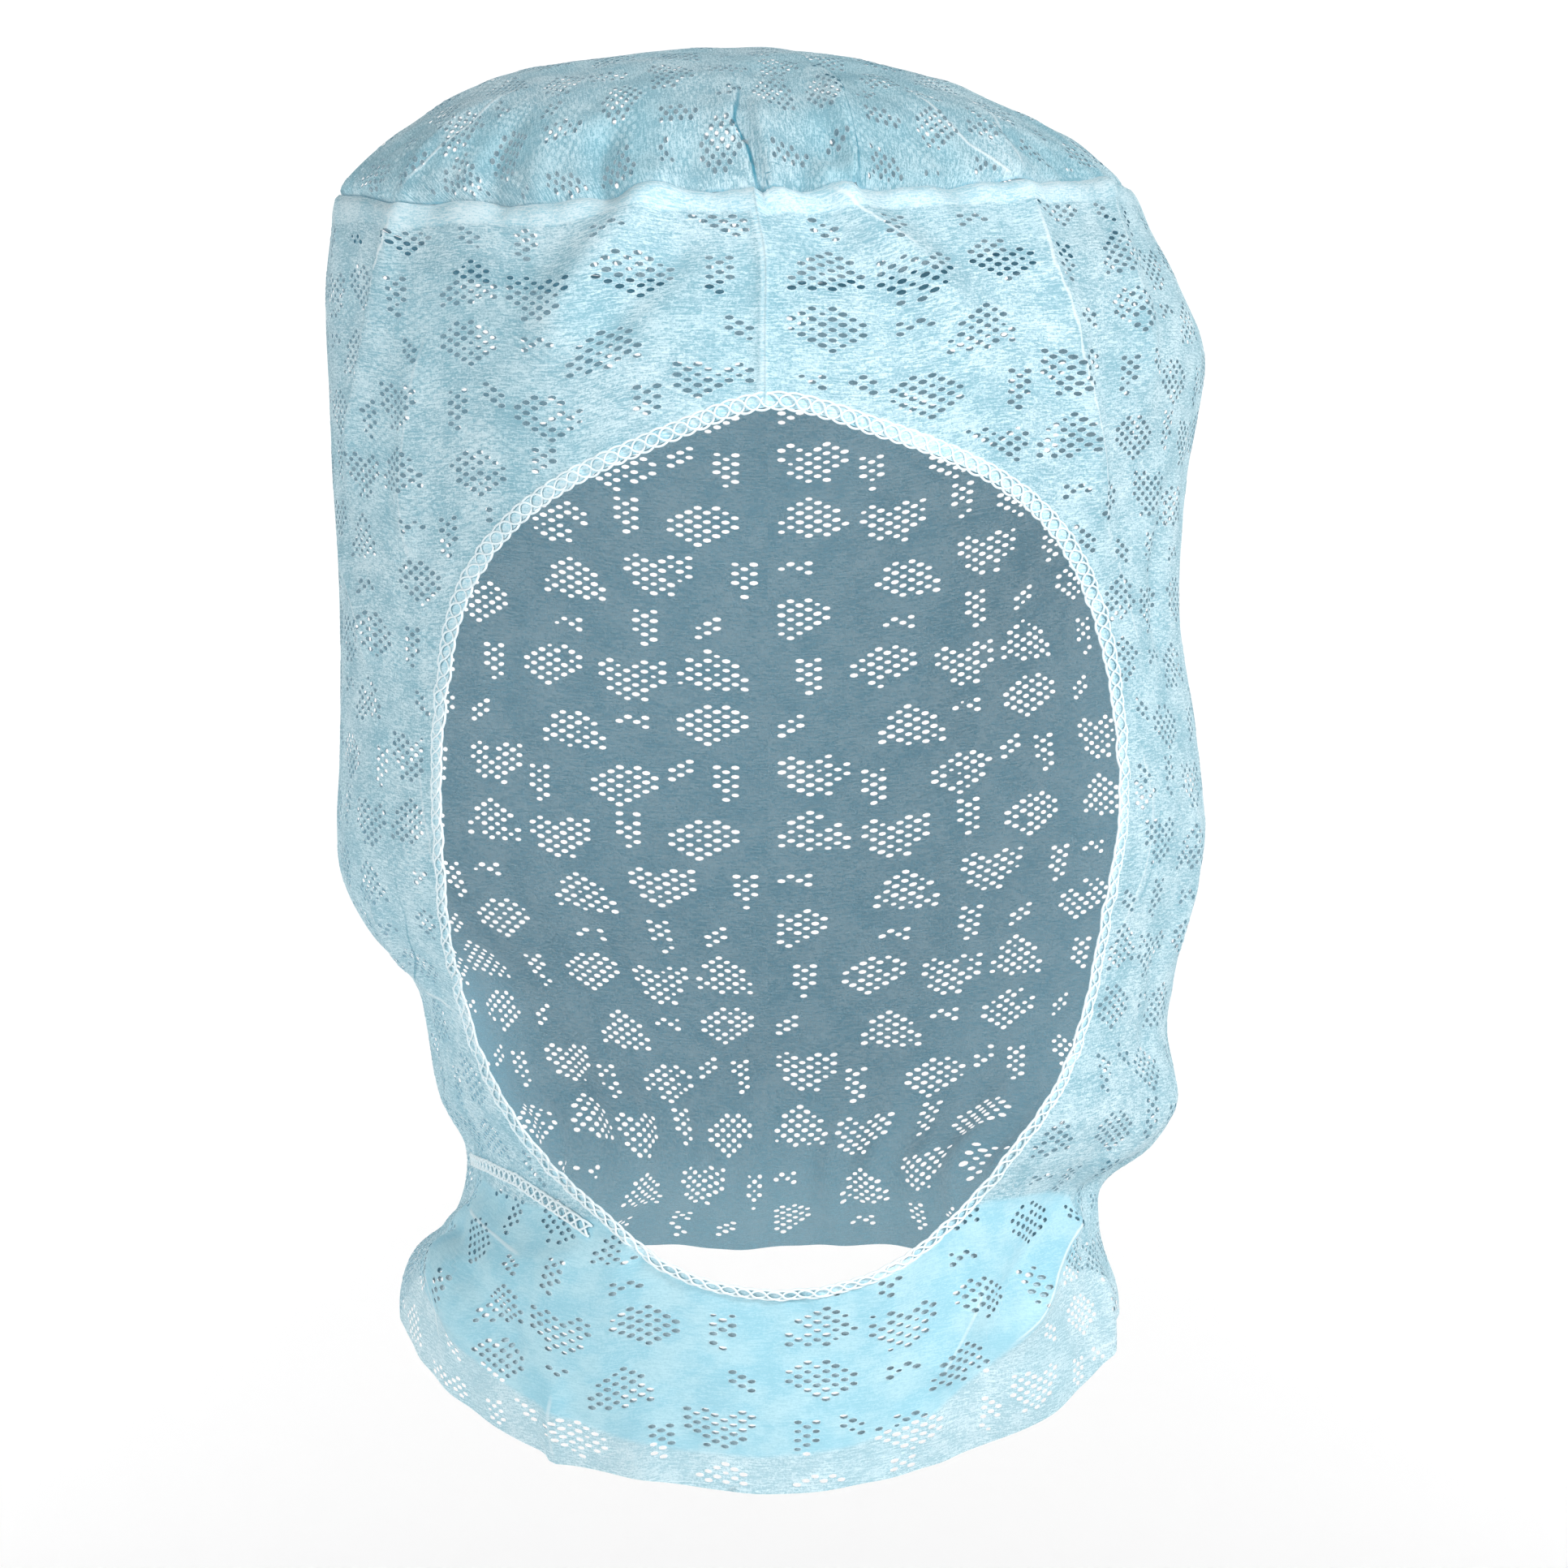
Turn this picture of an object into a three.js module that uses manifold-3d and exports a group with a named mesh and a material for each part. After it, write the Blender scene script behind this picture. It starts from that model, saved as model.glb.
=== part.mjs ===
// Pull-on hood of thin apertured nonwoven, worn form, millimetres, +Z up.
// The wearer looks along -Y and +X is the wearer's left. The origin is where the
// crown of a head touches the inside of the crown panel.
import * as THREE from 'three';
import { mergeVertices } from 'three/addons/utils/BufferGeometryUtils.js';
import Module from 'manifold-3d';

const wasm = await Module();
wasm.setup();

// ---- driving dimensions ----
const clothWall = 1.2; // wall of the cloth, outside to inside
const pieceGap = 0.3; // clear gap kept between sewn pieces
const edgeWide = 4.0; // overlocked edge of the face opening, over the brow
const edgeNarrow = 2.4; // the same edge along the jaw, where it rolls in
const edgeThick = 2.2;
const allowanceDeep = 5.5; // seam allowance under the crown seam
const frontSeamWide = 2.8;
const throatSeamWide = 2.2;

// height of the crown seam, which dips where the crown is tucked into it
const seamColumns = ['turn', 'height'];
const seamRows = [
  [-180, -40],
  [-130, -35],
  [-90, -29.5],
  [-66, -31.5],
  [-51, -35],
  [-38, -34.8],
  [-25, -36.2],
  [-15, -34.2],
  [0, -34.4],
  [13, -34.6],
  [30, -31.6],
  [42, -31.2],
  [58, -29],
  [90, -28],
  [130, -33],
  [180, -40],
];

// height of the cut hem, lowest under the chin
const hemRows = [
  [-180, -245.6],
  [-125, -246],
  [-98, -249.8],
  [-84, -253.8],
  [-75, -257.4],
  [-67, -262],
  [-58, -267.8],
  [-48, -273.1],
  [-38, -277.7],
  [-29, -279.8],
  [-20, -281.4],
  [-8, -283.2],
  [2, -284],
  [16, -281.8],
  [27, -278.5],
  [36, -275.8],
  [46, -272.4],
  [54, -269],
  [62, -264.4],
  [69, -260],
  [80, -254.6],
  [95, -250.2],
  [125, -246],
  [180, -245.6],
];

// ---- level sections, hem to apex ----
// left, right, front and back are the furthest reaches of the cloth at that height;
// mid is the depth of the widest place, axis its middle, square the superellipse power.
const sectionColumns = ['height', 'left', 'right', 'front', 'back', 'mid', 'axis', 'square'];
const sectionRows = {
  bibTip: [-284, -60, 62, -67, 88, 5, 0, 2.2],
  bib: [-267, -71, 70.5, -75, 90, 4, 0, 2.2],
  skirt: [-250, -73.5, 70.7, -83, 90, 3, 0, 2.2],
  flare: [-241, -70.5, 68, -87.5, 86, 2, 0, 2.2],
  throat: [-234.6, -63, 66.8, -90, 80, 0, 0, 2.15],
  neck: [-227, -60, 67.6, -92, 77, 0, 0, 2.1],
  underJaw: [-219, -60, 77.3, -94, 77, 0, 0, 2.1],
  jaw: [-210, -65.2, 82.5, -96, 80, 0, 0, 2.1],
  lowCheek: [-197, -68, 80.5, -99, 87, 0, 0, 2.05],
  cheek: [-187, -70.8, 81.8, -101, 92, 0, 0, 2.05],
  cheekFold: [-177, -79.5, 84, -102, 97, 0, 0, 2.0],
  highCheek: [-166, -85.2, 86.8, -103, 101, 0, 0, 2.0],
  earLobe: [-155, -86.5, 88.1, -103.5, 104, 0, 0, 2.0],
  ear: [-137, -85.7, 86.2, -103.5, 106, 0, 0, 2.0],
  temple: [-112, -85.7, 83, -103, 107, 0, 0, 2.0],
  brow: [-87, -87.2, 84.5, -102.5, 105, 0, 0, 2.05],
  forehead: [-62, -88.3, 87.7, -100.5, 99, 0, 0, 2.1],
  highForehead: [-48, -88.5, 83.2, -97, 94, 0, 0, 2.15],
  underSeam: [-37, -87.4, 77.5, -91.5, 88, 0, -2, 2.15],
  crownSeam: [-28, -85.7, 72.6, -84.5, 80, 0, -3, 2.15],
  lowCrown: [-18, -75, 60.5, -76, 69, 0, -4, 2.1],
  crown: [-10, -63.5, 44.5, -61, 58, 0, -5, 2.05],
  highCrown: [-4.6, -51, 30, -43, 45, 0, -6, 2.0],
  topCrown: [-1.1, -27, 14, -22, 26, 0, -7, 2.0],
  apex: [1.2, -7, -7, 0, 0, 0, -7, 2.0],
};

// ---- face opening, as seen from the front ----
const openingPeak = { height: -76.8, across: 1 };
const openingChin = { height: -243.3, across: 1 };
const openingColumns = ['height', 'left', 'right'];
const openingRows = [
  [-82, -15.7, 21.8],
  [-91, -36, 44.3],
  [-100, -48.7, 54.8],
  [-113.5, -57.4, 62.2],
  [-132, -61.3, 66.8],
  [-151, -62.1, 68],
  [-179, -60.2, 63.4],
  [-198, -55.3, 58.8],
  [-216.3, -44.3, 47.2],
  [-228.5, -31, 36.5],
  [-238.7, -17.2, 23.4],
];

// ---- folds: ridges (or dents, where rise is negative) along a path of turn and height ----
// turn is degrees round from the centre front, positive to +X.
const folds = {
  crownTuck: { width: 3.4, rise: 2.4, path: [[0.8, -33], [1.2, -24], [2, -13]] },
  crownPleat: { width: 3.4, rise: 2.2, path: [[12, -33], [16.5, -13], [16, -6]] },
  crownCreaseLeft: { width: 5, rise: 1.2, path: [[-50, -30], [-52, -18], [-39, -10]] },
  crownCreaseRight: { width: 5, rise: 1.2, path: [[40, -30], [41, -22], [44, -14]] },
  sideCreaseLeft: { width: 5, rise: 1.6, path: [[-51, -37], [-56, -53], [-62, -69], [-72, -88]] },
  sideCreaseRight: { width: 5, rise: 1.6, path: [[41, -37], [43, -64], [53, -96]] },
  browFoldRight: { width: 6, rise: 1.8, path: [[12, -39], [18, -50], [27, -63]] },
  browFoldLeft: { width: 6, rise: 1.8, path: [[-9, -40], [-17, -46], [-24, -60]] },
  cheekFold: { width: 6, rise: 1.4, path: [[-63, -166], [-74, -182], [-66, -191]] },
  cheekDent: { width: 7, rise: -2.2, path: [[-82, -196], [-74, -205]] },
  jawRoll: { width: 7, rise: 1.8, path: [[78, -205], [66, -216], [58, -224]] },
  throatFoldRight: { width: 4.5, rise: 2, path: [[68, -231], [55, -236], [43, -250], [33, -262]] },
  throatFoldLeft: { width: 5, rise: 1.6, path: [[-72, -236], [-58, -245], [-47, -258]] },
  neckRoll: { width: 4.5, rise: 2, path: [[-84, -235], [-66, -232], [-48, -236]] },
  hemFoldRight: { width: 4.5, rise: 1.6, path: [[70, -243], [70, -254]] },
  napeFoldLeft: { width: 7, rise: -2.4, path: [[-150, -242], [-146, -224], [-138, -200]] },
  napeFoldMid: { width: 7, rise: -2.4, path: [[-176, -242], [-178, -220], [178, -196]] },
  napeFoldRight: { width: 7, rise: -2.4, path: [[148, -242], [145, -222], [136, -202]] },
  sideGatherLeft: { width: 6, rise: -1.8, path: [[-112, -240], [-110, -222], [-104, -206]] },
  sideGatherRight: { width: 6, rise: -1.8, path: [[114, -240], [112, -224], [106, -208]] },
};

// ---- throat ply, the second layer under the chin ----
const throatPlyColumns = ['turn', 'top', 'bottom'];
const throatPlyRows = [
  [-74, -226, -240],
  [-62, -228, -249],
  [-50, -231, -258],
  [-38, -236.5, -266],
  [-26, -243, -271.5],
  [-13, -248.5, -275.5],
  [0, -250.5, -276.5],
  [13, -248.5, -274],
  [26, -243, -267.5],
  [38, -236.5, -257],
  [50, -231, -246],
  [62, -229.5, -239],
];
const throatSeamPath = [[-77, -221.5], [-65, -222], [-53, -223.8], [-44, -227], [-37, -229.8], [-31, -232.6]];

// ---- the bare surface ----
const rows = Object.values(sectionRows);
const lastRow = rows.length - 1;

function columnSlopes(column) {
  return rows.map((row, i) => {
    const before = row[column] - rows[Math.max(i - 1, 0)][column];
    const after = rows[Math.min(i + 1, lastRow)][column] - row[column];
    if (column === 0) {
      return i === lastRow ? 0 : i === 0 ? after : (2 * before * after) / (before + after);
    }
    return i === 0 ? after : i === lastRow ? before : (before + after) / 2;
  });
}
const slopes = sectionColumns.map((_, column) => columnSlopes(column));

function sectionValue(column, level) {
  const clamped = Math.min(Math.max(level, 0), lastRow);
  const i = Math.min(Math.floor(clamped), lastRow - 1);
  const f = clamped - i;
  const f2 = f * f;
  const f3 = f2 * f;
  return (
    (2 * f3 - 3 * f2 + 1) * rows[i][column] +
    (f3 - 2 * f2 + f) * slopes[column][i] +
    (3 * f2 - 2 * f3) * rows[i + 1][column] +
    (f3 - f2) * slopes[column][i + 1]
  );
}

function levelAt(height) {
  let low = 0;
  let high = lastRow;
  for (let n = 0; n < 30; n += 1) {
    const middle = (low + high) / 2;
    if (sectionValue(0, middle) < height) {
      low = middle;
    } else {
      high = middle;
    }
  }
  return (low + high) / 2;
}

function barePoint(turn, level) {
  const angle = THREE.MathUtils.degToRad(turn);
  const [height, left, right, front, back, mid, axis, square] = sectionColumns.map((_, c) =>
    sectionValue(c, level)
  );
  const side = Math.sin(angle);
  const rear = -Math.cos(angle);
  const acrossShare = Math.sign(side) * Math.abs(side) ** (2 / square);
  const deepShare = Math.sign(rear) * Math.abs(rear) ** (2 / square);
  const x = axis + acrossShare * (side > 0 ? right - axis : axis - left);
  const y = mid + deepShare * (rear > 0 ? back - mid : mid - front);
  return new THREE.Vector3(x, y, height);
}

function bareNormal(turn, level) {
  if (level > lastRow - 0.02) {
    return new THREE.Vector3(0, 0, 1);
  }
  const stepUp = Math.min(level + 0.04, lastRow - 0.001);
  const up = barePoint(turn, stepUp).sub(barePoint(turn, Math.max(level - 0.04, 0)));
  const round = barePoint(turn + 0.6, level).sub(barePoint(turn - 0.6, level));
  return round.cross(up).normalize();
}

// ---- folds on it ----
const foldPaths = Object.values(folds).map(({ width, rise, path }) => {
  const points = [];
  path.slice(1).forEach(([turn, height], i) => {
    const [turnBefore, heightBefore] = path[i];
    const turnTo = Math.abs(turn - turnBefore) > 180 ? turn - 360 : turn;
    for (let n = 0; n <= 4; n += 1) {
      const share = n / 4;
      points.push(
        barePoint(
          turnBefore + (turnTo - turnBefore) * share,
          levelAt(heightBefore + (height - heightBefore) * share)
        )
      );
    }
  });
  return { width, rise, points };
});

function foldRise(point) {
  let ridge = 0;
  let dent = 0;
  const nearest = new THREE.Vector3();
  for (const { width, rise, points } of foldPaths) {
    let away = Infinity;
    for (let i = 1; i < points.length; i += 1) {
      if (points[i].distanceTo(point) < 40) {
        new THREE.Line3(points[i - 1], points[i]).closestPointToPoint(point, true, nearest);
        away = Math.min(away, nearest.distanceTo(point));
      }
    }
    const height = rise * Math.exp(-((away / width) ** 2));
    ridge = Math.max(ridge, height);
    dent = Math.min(dent, height);
  }
  return ridge + dent;
}

function clothPoint(turn, level, proud) {
  const point = barePoint(turn, level);
  return point.addScaledVector(bareNormal(turn, level), foldRise(point) + proud);
}

// ---- edges of the panels ----
function heightAlong(rowsOfEdge, turn) {
  const about = ((turn + 540) % 360) - 180;
  const last = rowsOfEdge.length - 1;
  const height = seamColumns.indexOf('height');
  const slopeAt = (i) => {
    const [a, b] = [rowsOfEdge[Math.max(i - 1, 0)], rowsOfEdge[Math.min(i + 1, last)]];
    return i === 0 || i === last ? 0 : (b[height] - a[height]) / (b[0] - a[0]);
  };
  let i = 0;
  while (i < last - 1 && rowsOfEdge[i + 1][0] <= about) {
    i += 1;
  }
  const span = rowsOfEdge[i + 1][0] - rowsOfEdge[i][0];
  const f = (about - rowsOfEdge[i][0]) / span;
  return (
    (2 * f ** 3 - 3 * f * f + 1) * rowsOfEdge[i][height] +
    (f ** 3 - 2 * f * f + f) * span * slopeAt(i) +
    (3 * f * f - 2 * f ** 3) * rowsOfEdge[i + 1][height] +
    (f ** 3 - f * f) * span * slopeAt(i + 1)
  );
}

function seamHeight(turn) {
  return heightAlong(seamRows, turn);
}

function hemHeight(turn) {
  return heightAlong(hemRows, turn);
}

function blend(table, column, at) {
  const last = table.length - 1;
  let i = 0;
  while (i < last - 1 && table[i + 1][0] < at) {
    i += 1;
  }
  const share = (at - table[i][0]) / (table[i + 1][0] - table[i][0]);
  return table[i][column] + (table[i + 1][column] - table[i][column]) * share;
}

// ---- closed walls from two grids of points ----
function closedWall(turns, bands, at, round, capped) {
  // at(turn, band, inside) gives a point; round joins the last turn to the first;
  // capped brings the last band to one point.
  const positions = [];
  const columns = turns.length;
  const levels = bands.length;
  const index = (side, i, j) => {
    const column = round ? i % columns : i;
    return side * columns * levels + column * levels + j;
  };
  for (const side of [0, 1]) {
    for (const turn of turns) {
      for (const band of bands) {
        positions.push(...at(turn, band, side === 1).toArray());
      }
    }
  }
  const faces = [];
  const quad = (a, b, c, d) => faces.push([a, b, c], [a, c, d]);
  const spans = round ? columns : columns - 1;
  for (let i = 0; i < spans; i += 1) {
    for (let j = 0; j < levels - 1; j += 1) {
      quad(index(0, i, j), index(0, i + 1, j), index(0, i + 1, j + 1), index(0, i, j + 1));
      quad(index(1, i, j), index(1, i, j + 1), index(1, i + 1, j + 1), index(1, i + 1, j));
    }
    quad(index(0, i, 0), index(1, i, 0), index(1, i + 1, 0), index(0, i + 1, 0));
    if (!capped) {
      const top = levels - 1;
      quad(index(0, i, top), index(0, i + 1, top), index(1, i + 1, top), index(1, i, top));
    }
  }
  if (!round) {
    for (let j = 0; j < levels - 1; j += 1) {
      const end = columns - 1;
      quad(index(0, 0, j), index(0, 0, j + 1), index(1, 0, j + 1), index(1, 0, j));
      quad(index(0, end, j), index(1, end, j), index(1, end, j + 1), index(0, end, j + 1));
    }
  }
  return weld(positions, faces);
}

function weld(positions, faces) {
  const loose = new THREE.BufferGeometry();
  loose.setAttribute('position', new THREE.Float32BufferAttribute(positions, 3));
  loose.setIndex(faces.flat());
  const merged = mergeVertices(loose, 1e-3);
  const kept = [];
  const order = merged.getIndex().array;
  for (let i = 0; i < order.length; i += 3) {
    const [a, b, c] = [order[i], order[i + 1], order[i + 2]];
    if (a !== b && b !== c && a !== c) {
      kept.push(a, b, c);
    }
  }
  merged.setIndex(kept);
  return merged;
}

// ---- cutting ----
function solidOf(geometry) {
  const source = geometry.clone();
  source.deleteAttribute('normal');
  source.deleteAttribute('uv');
  const merged = mergeVertices(source, 1e-4);
  return new wasm.Manifold(
    new wasm.Mesh({
      numProp: 3,
      vertProperties: new Float32Array(merged.getAttribute('position').array),
      triVerts: new Uint32Array(merged.getIndex().array),
    })
  );
}

function geometryOf(solid) {
  const mesh = solid.getMesh();
  const geometry = new THREE.BufferGeometry();
  geometry.setAttribute('position', new THREE.BufferAttribute(mesh.vertProperties, 3));
  geometry.setIndex(Array.from(mesh.triVerts));
  return geometry;
}

// ---- the face opening ----
const outline = new THREE.CatmullRomCurve3(
  [
    [openingPeak.across, openingPeak.height],
    ...openingRows.map(([height, , right]) => [right, height]),
    [openingChin.across, openingChin.height],
    ...openingRows.map(([height, left]) => [left, height]).reverse(),
  ].map(([across, height]) => new THREE.Vector3(across, 0, height)),
  true,
  'centripetal'
);

function edgeWidth(height) {
  return edgeNarrow + (edgeWide - edgeNarrow) * THREE.MathUtils.smoothstep(height, -205, -165);
}

function outlinePoint(share, outward) {
  const point = outline.getPointAt(share % 1);
  const tangent = outline.getTangentAt(share % 1);
  return point.add(new THREE.Vector3(-tangent.z, 0, tangent.x).multiplyScalar(outward));
}

function openingCutter(steps) {
  const shape = new THREE.Shape();
  for (let i = 0; i < steps; i += 1) {
    const height = outlinePoint(i / steps, 0).z;
    const point = outlinePoint(i / steps, edgeWidth(height) + pieceGap);
    if (i === 0) {
      shape.moveTo(point.x, point.z);
    } else {
      shape.lineTo(point.x, point.z);
    }
  }
  shape.closePath();
  const prism = new THREE.ExtrudeGeometry(shape, { depth: 120, bevelEnabled: false });
  prism.rotateX(Math.PI / 2);
  prism.translate(0, -20, 0);
  return prism;
}

function turnAcross(across, height) {
  // the turn, on the front, at which the cloth is this far across at this height
  const level = levelAt(height);
  let low = -95;
  let high = 95;
  for (let n = 0; n < 30; n += 1) {
    const middle = (low + high) / 2;
    if (barePoint(middle, level).x < across) {
      low = middle;
    } else {
      high = middle;
    }
  }
  return (low + high) / 2;
}

function surfaceAcross(across, height, proud) {
  return clothPoint(turnAcross(across, height), levelAt(height), proud);
}

function edgeLoop(steps) {
  // the overlocked edge: a flattened cord, its section lying in the cloth
  const rings = [];
  for (let i = 0; i < steps; i += 1) {
    const share = i / steps;
    const width = edgeWidth(outlinePoint(share, 0).z);
    const inner = outlinePoint(share, 0);
    const outer = outlinePoint(share, width);
    const middle = outlinePoint(share, width / 2);
    const from = surfaceAcross(inner.x, inner.z, -clothWall / 2);
    const to = surfaceAcross(outer.x, outer.z, -clothWall / 2);
    const ahead = outlinePoint(share + 0.004, width / 2);
    const centre = surfaceAcross(middle.x, middle.z, -clothWall / 2);
    const along = surfaceAcross(ahead.x, ahead.z, -clothWall / 2).sub(centre).normalize();
    const wide = to.clone().sub(from);
    const thick = along.clone().cross(wide).normalize().multiplyScalar(edgeThick / 2);
    const half = wide.multiplyScalar(0.5);
    const ring = [[0.9, 0.35], [0, 1], [-1, 0.35], [-1, -0.35], [0, -1], [0.9, -0.35]].map(([w, t]) =>
      centre.clone().addScaledVector(half, w).addScaledVector(thick, t)
    );
    rings.push(ring);
  }
  return loopOf(rings, true);
}

function loopOf(rings, round) {
  const sides = rings[0].length;
  const positions = rings.flat().flatMap((point) => point.toArray());
  const faces = [];
  const spans = round ? rings.length : rings.length - 1;
  for (let i = 0; i < spans; i += 1) {
    const next = (i + 1) % rings.length;
    for (let j = 0; j < sides; j += 1) {
      const k = (j + 1) % sides;
      faces.push([i * sides + j, next * sides + j, next * sides + k]);
      faces.push([i * sides + j, next * sides + k, i * sides + k]);
    }
  }
  if (!round) {
    const last = (rings.length - 1) * sides;
    for (let j = 1; j < sides - 1; j += 1) {
      faces.push([0, j, j + 1], [last, last + j + 1, last + j]);
    }
  }
  const geometry = weld(positions, faces);
  return volumeOf(geometry) < 0 ? flipped(geometry) : geometry;
}

function volumeOf(geometry) {
  const position = geometry.getAttribute('position');
  const order = geometry.getIndex().array;
  const [a, b, c] = [new THREE.Vector3(), new THREE.Vector3(), new THREE.Vector3()];
  let volume = 0;
  for (let i = 0; i < order.length; i += 3) {
    a.fromBufferAttribute(position, order[i]);
    b.fromBufferAttribute(position, order[i + 1]);
    c.fromBufferAttribute(position, order[i + 2]);
    volume += a.dot(b.cross(c)) / 6;
  }
  return volume;
}

function flipped(geometry) {
  const order = Array.from(geometry.getIndex().array);
  for (let i = 0; i < order.length; i += 3) {
    [order[i + 1], order[i + 2]] = [order[i + 2], order[i + 1]];
  }
  geometry.setIndex(order);
  return geometry;
}

function outward(geometry) {
  return volumeOf(geometry) < 0 ? flipped(geometry) : geometry;
}

// ---- the pieces ----
const turnList = [];
for (let turn = -60; turn < 60; turn += 4) {
  turnList.push(turn);
}
for (let turn = 60; turn < 120; turn += 6) {
  turnList.push(turn);
}
for (let turn = 120; turn < 240; turn += 8) {
  turnList.push(turn);
}
for (let turn = 240; turn < 300; turn += 6) {
  turnList.push(turn);
}

const evenly = (count) => Array.from({ length: count + 1 }, (_, i) => i / count);
const allowanceShare = 0.975; // where the seam allowance's lower edge falls on the panel
const wrapBands = [...evenly(21).map((share) => share * allowanceShare), 1];

function wrapWall(bands, proudOut, proudIn) {
  // a ring of wall on the wrap panel's own grid, so that layers stay parallel
  return outward(
    closedWall(
      turnList,
      bands,
      (turn, share, inside) => {
        const low = hemHeight(turn);
        const high = seamHeight(turn) - pieceGap / 2;
        return clothPoint(turn, levelAt(low + (high - low) * share), inside ? proudIn : proudOut);
      },
      true,
      false
    )
  );
}

function frontPrism(points, rearmost) {
  // an outline seen from the front, [across, height], made solid back to this depth
  const shape = new THREE.Shape(points.map(([across, height]) => new THREE.Vector2(across, height)));
  const prism = new THREE.ExtrudeGeometry(shape, { depth: 120, bevelEnabled: false });
  prism.rotateX(Math.PI / 2);
  prism.translate(0, rearmost, 0);
  return solidOf(prism);
}

const innerPly = { proudOut: -clothWall - pieceGap, proudIn: -clothWall - pieceGap - 1 };

function wrapPanel() {
  const wall = wrapWall(wrapBands, 0, -clothWall);
  const slit = new THREE.BoxGeometry(pieceGap, 60, 60);
  slit.translate(openingPeak.across, -95, openingPeak.height + 20);
  return geometryOf(solidOf(wall).subtract(solidOf(openingCutter(80))).subtract(solidOf(slit)));
}

function crownPanel() {
  return outward(
    closedWall(
      turnList,
      evenly(7),
      (turn, share, inside) => {
        const low = levelAt(seamHeight(turn) + pieceGap / 2);
        return clothPoint(turn, low + (lastRow - low) * share, inside ? -clothWall : 0);
      },
      true,
      true
    )
  );
}

function crownAllowance() {
  return wrapWall([allowanceShare, 1], innerPly.proudOut, innerPly.proudIn);
}

function frontSeam() {
  const bottom = openingPeak.height + edgeWide + 1.2;
  const top = seamHeight(0) - allowanceDeep - 2.6;
  const right = openingPeak.across;
  const left = right - frontSeamWide;
  const layer = wrapWall(wrapBands.slice(-9, -1), innerPly.proudOut, innerPly.proudIn);
  const strip = frontPrism([[left, bottom], [right, bottom], [right, top], [left, top]], -40);
  return geometryOf(solidOf(layer).intersect(strip));
}

function throatPly() {
  const side = (column) =>
    throatPlyRows.map((row) => {
      const height = row[throatPlyColumns.indexOf(column)];
      return [barePoint(row[0], levelAt(height)).x, height];
    });
  const layer = wrapWall(wrapBands.slice(0, 11), innerPly.proudOut, innerPly.proudIn);
  const outlineOfPly = frontPrism([...side('bottom'), ...side('top').reverse()], -26);
  return geometryOf(solidOf(layer).intersect(outlineOfPly));
}

function throatSeam() {
  const line = throatSeamPath.map(([turn, height]) => [barePoint(turn, levelAt(height)).x, height]);
  const half = throatSeamWide / 2;
  const layer = wrapWall(wrapBands.slice(0, 11), pieceGap + 1, pieceGap);
  const strip = frontPrism([
    ...line.map(([across, height]) => [across, height - half]),
    ...line.map(([across, height]) => [across, height + half]).reverse(),
  ], -18);
  return geometryOf(solidOf(layer).intersect(strip));
}

// ---- the hood ----
const cloth = { color: 0xa9d8e4, roughness: 0.85, metalness: 0 };
const doubled = { color: 0x8fcadb, roughness: 0.85, metalness: 0 };
const thread = { color: 0xd9ecf1, roughness: 0.8, metalness: 0 };

const group = new THREE.Group();
function place(name, geometry, finish) {
  const mesh = new THREE.Mesh(geometry, new THREE.MeshStandardMaterial(finish));
  mesh.name = name;
  group.add(mesh);
}

place('wrap_panel', wrapPanel(), cloth);
place('crown_panel', crownPanel(), cloth);
place('crown_seam_allowance', crownAllowance(), doubled);
place('front_seam', frontSeam(), doubled);
place('face_edge', edgeLoop(56), thread);
place('throat_ply', throatPly(), doubled);
place('throat_seam', throatSeam(), thread);

export default group;
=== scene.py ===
import math
from functools import partial

import bmesh
import bpy
import numpy as np
from mathutils import Matrix, Vector


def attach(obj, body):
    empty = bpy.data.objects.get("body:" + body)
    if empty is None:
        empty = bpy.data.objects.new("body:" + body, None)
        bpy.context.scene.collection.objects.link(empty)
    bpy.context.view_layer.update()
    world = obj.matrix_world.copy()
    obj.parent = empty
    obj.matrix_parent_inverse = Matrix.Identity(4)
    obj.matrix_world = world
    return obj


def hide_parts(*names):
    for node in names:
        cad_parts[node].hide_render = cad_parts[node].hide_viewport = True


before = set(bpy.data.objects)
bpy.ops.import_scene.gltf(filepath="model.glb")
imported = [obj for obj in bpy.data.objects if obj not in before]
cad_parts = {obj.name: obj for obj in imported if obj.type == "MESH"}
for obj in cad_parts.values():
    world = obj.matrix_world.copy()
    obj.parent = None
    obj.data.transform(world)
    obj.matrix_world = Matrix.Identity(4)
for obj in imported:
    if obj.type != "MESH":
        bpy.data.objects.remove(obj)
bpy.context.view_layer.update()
mm = 0.001
draw = np.random.default_rng(11)


def newObject(name, data):
    made = bpy.data.objects.new(name, data)
    bpy.context.scene.collection.objects.link(made)
    return made


# camera: level, from the front, at about one and a half metres
viewpoint = dict(x=3.5, y=-1490, z=-147.1, lens=169.6, sensor=36)
cameraData = bpy.data.cameras.new("camera")
cameraData.sensor_width, cameraData.lens = viewpoint["sensor"], viewpoint["lens"]
camera = newObject("camera", cameraData)
camera.location = (viewpoint["x"] * mm, viewpoint["y"] * mm, viewpoint["z"] * mm)
camera.rotation_euler = (math.pi / 2, 0, 0)
bpy.context.scene.camera = camera

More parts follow.
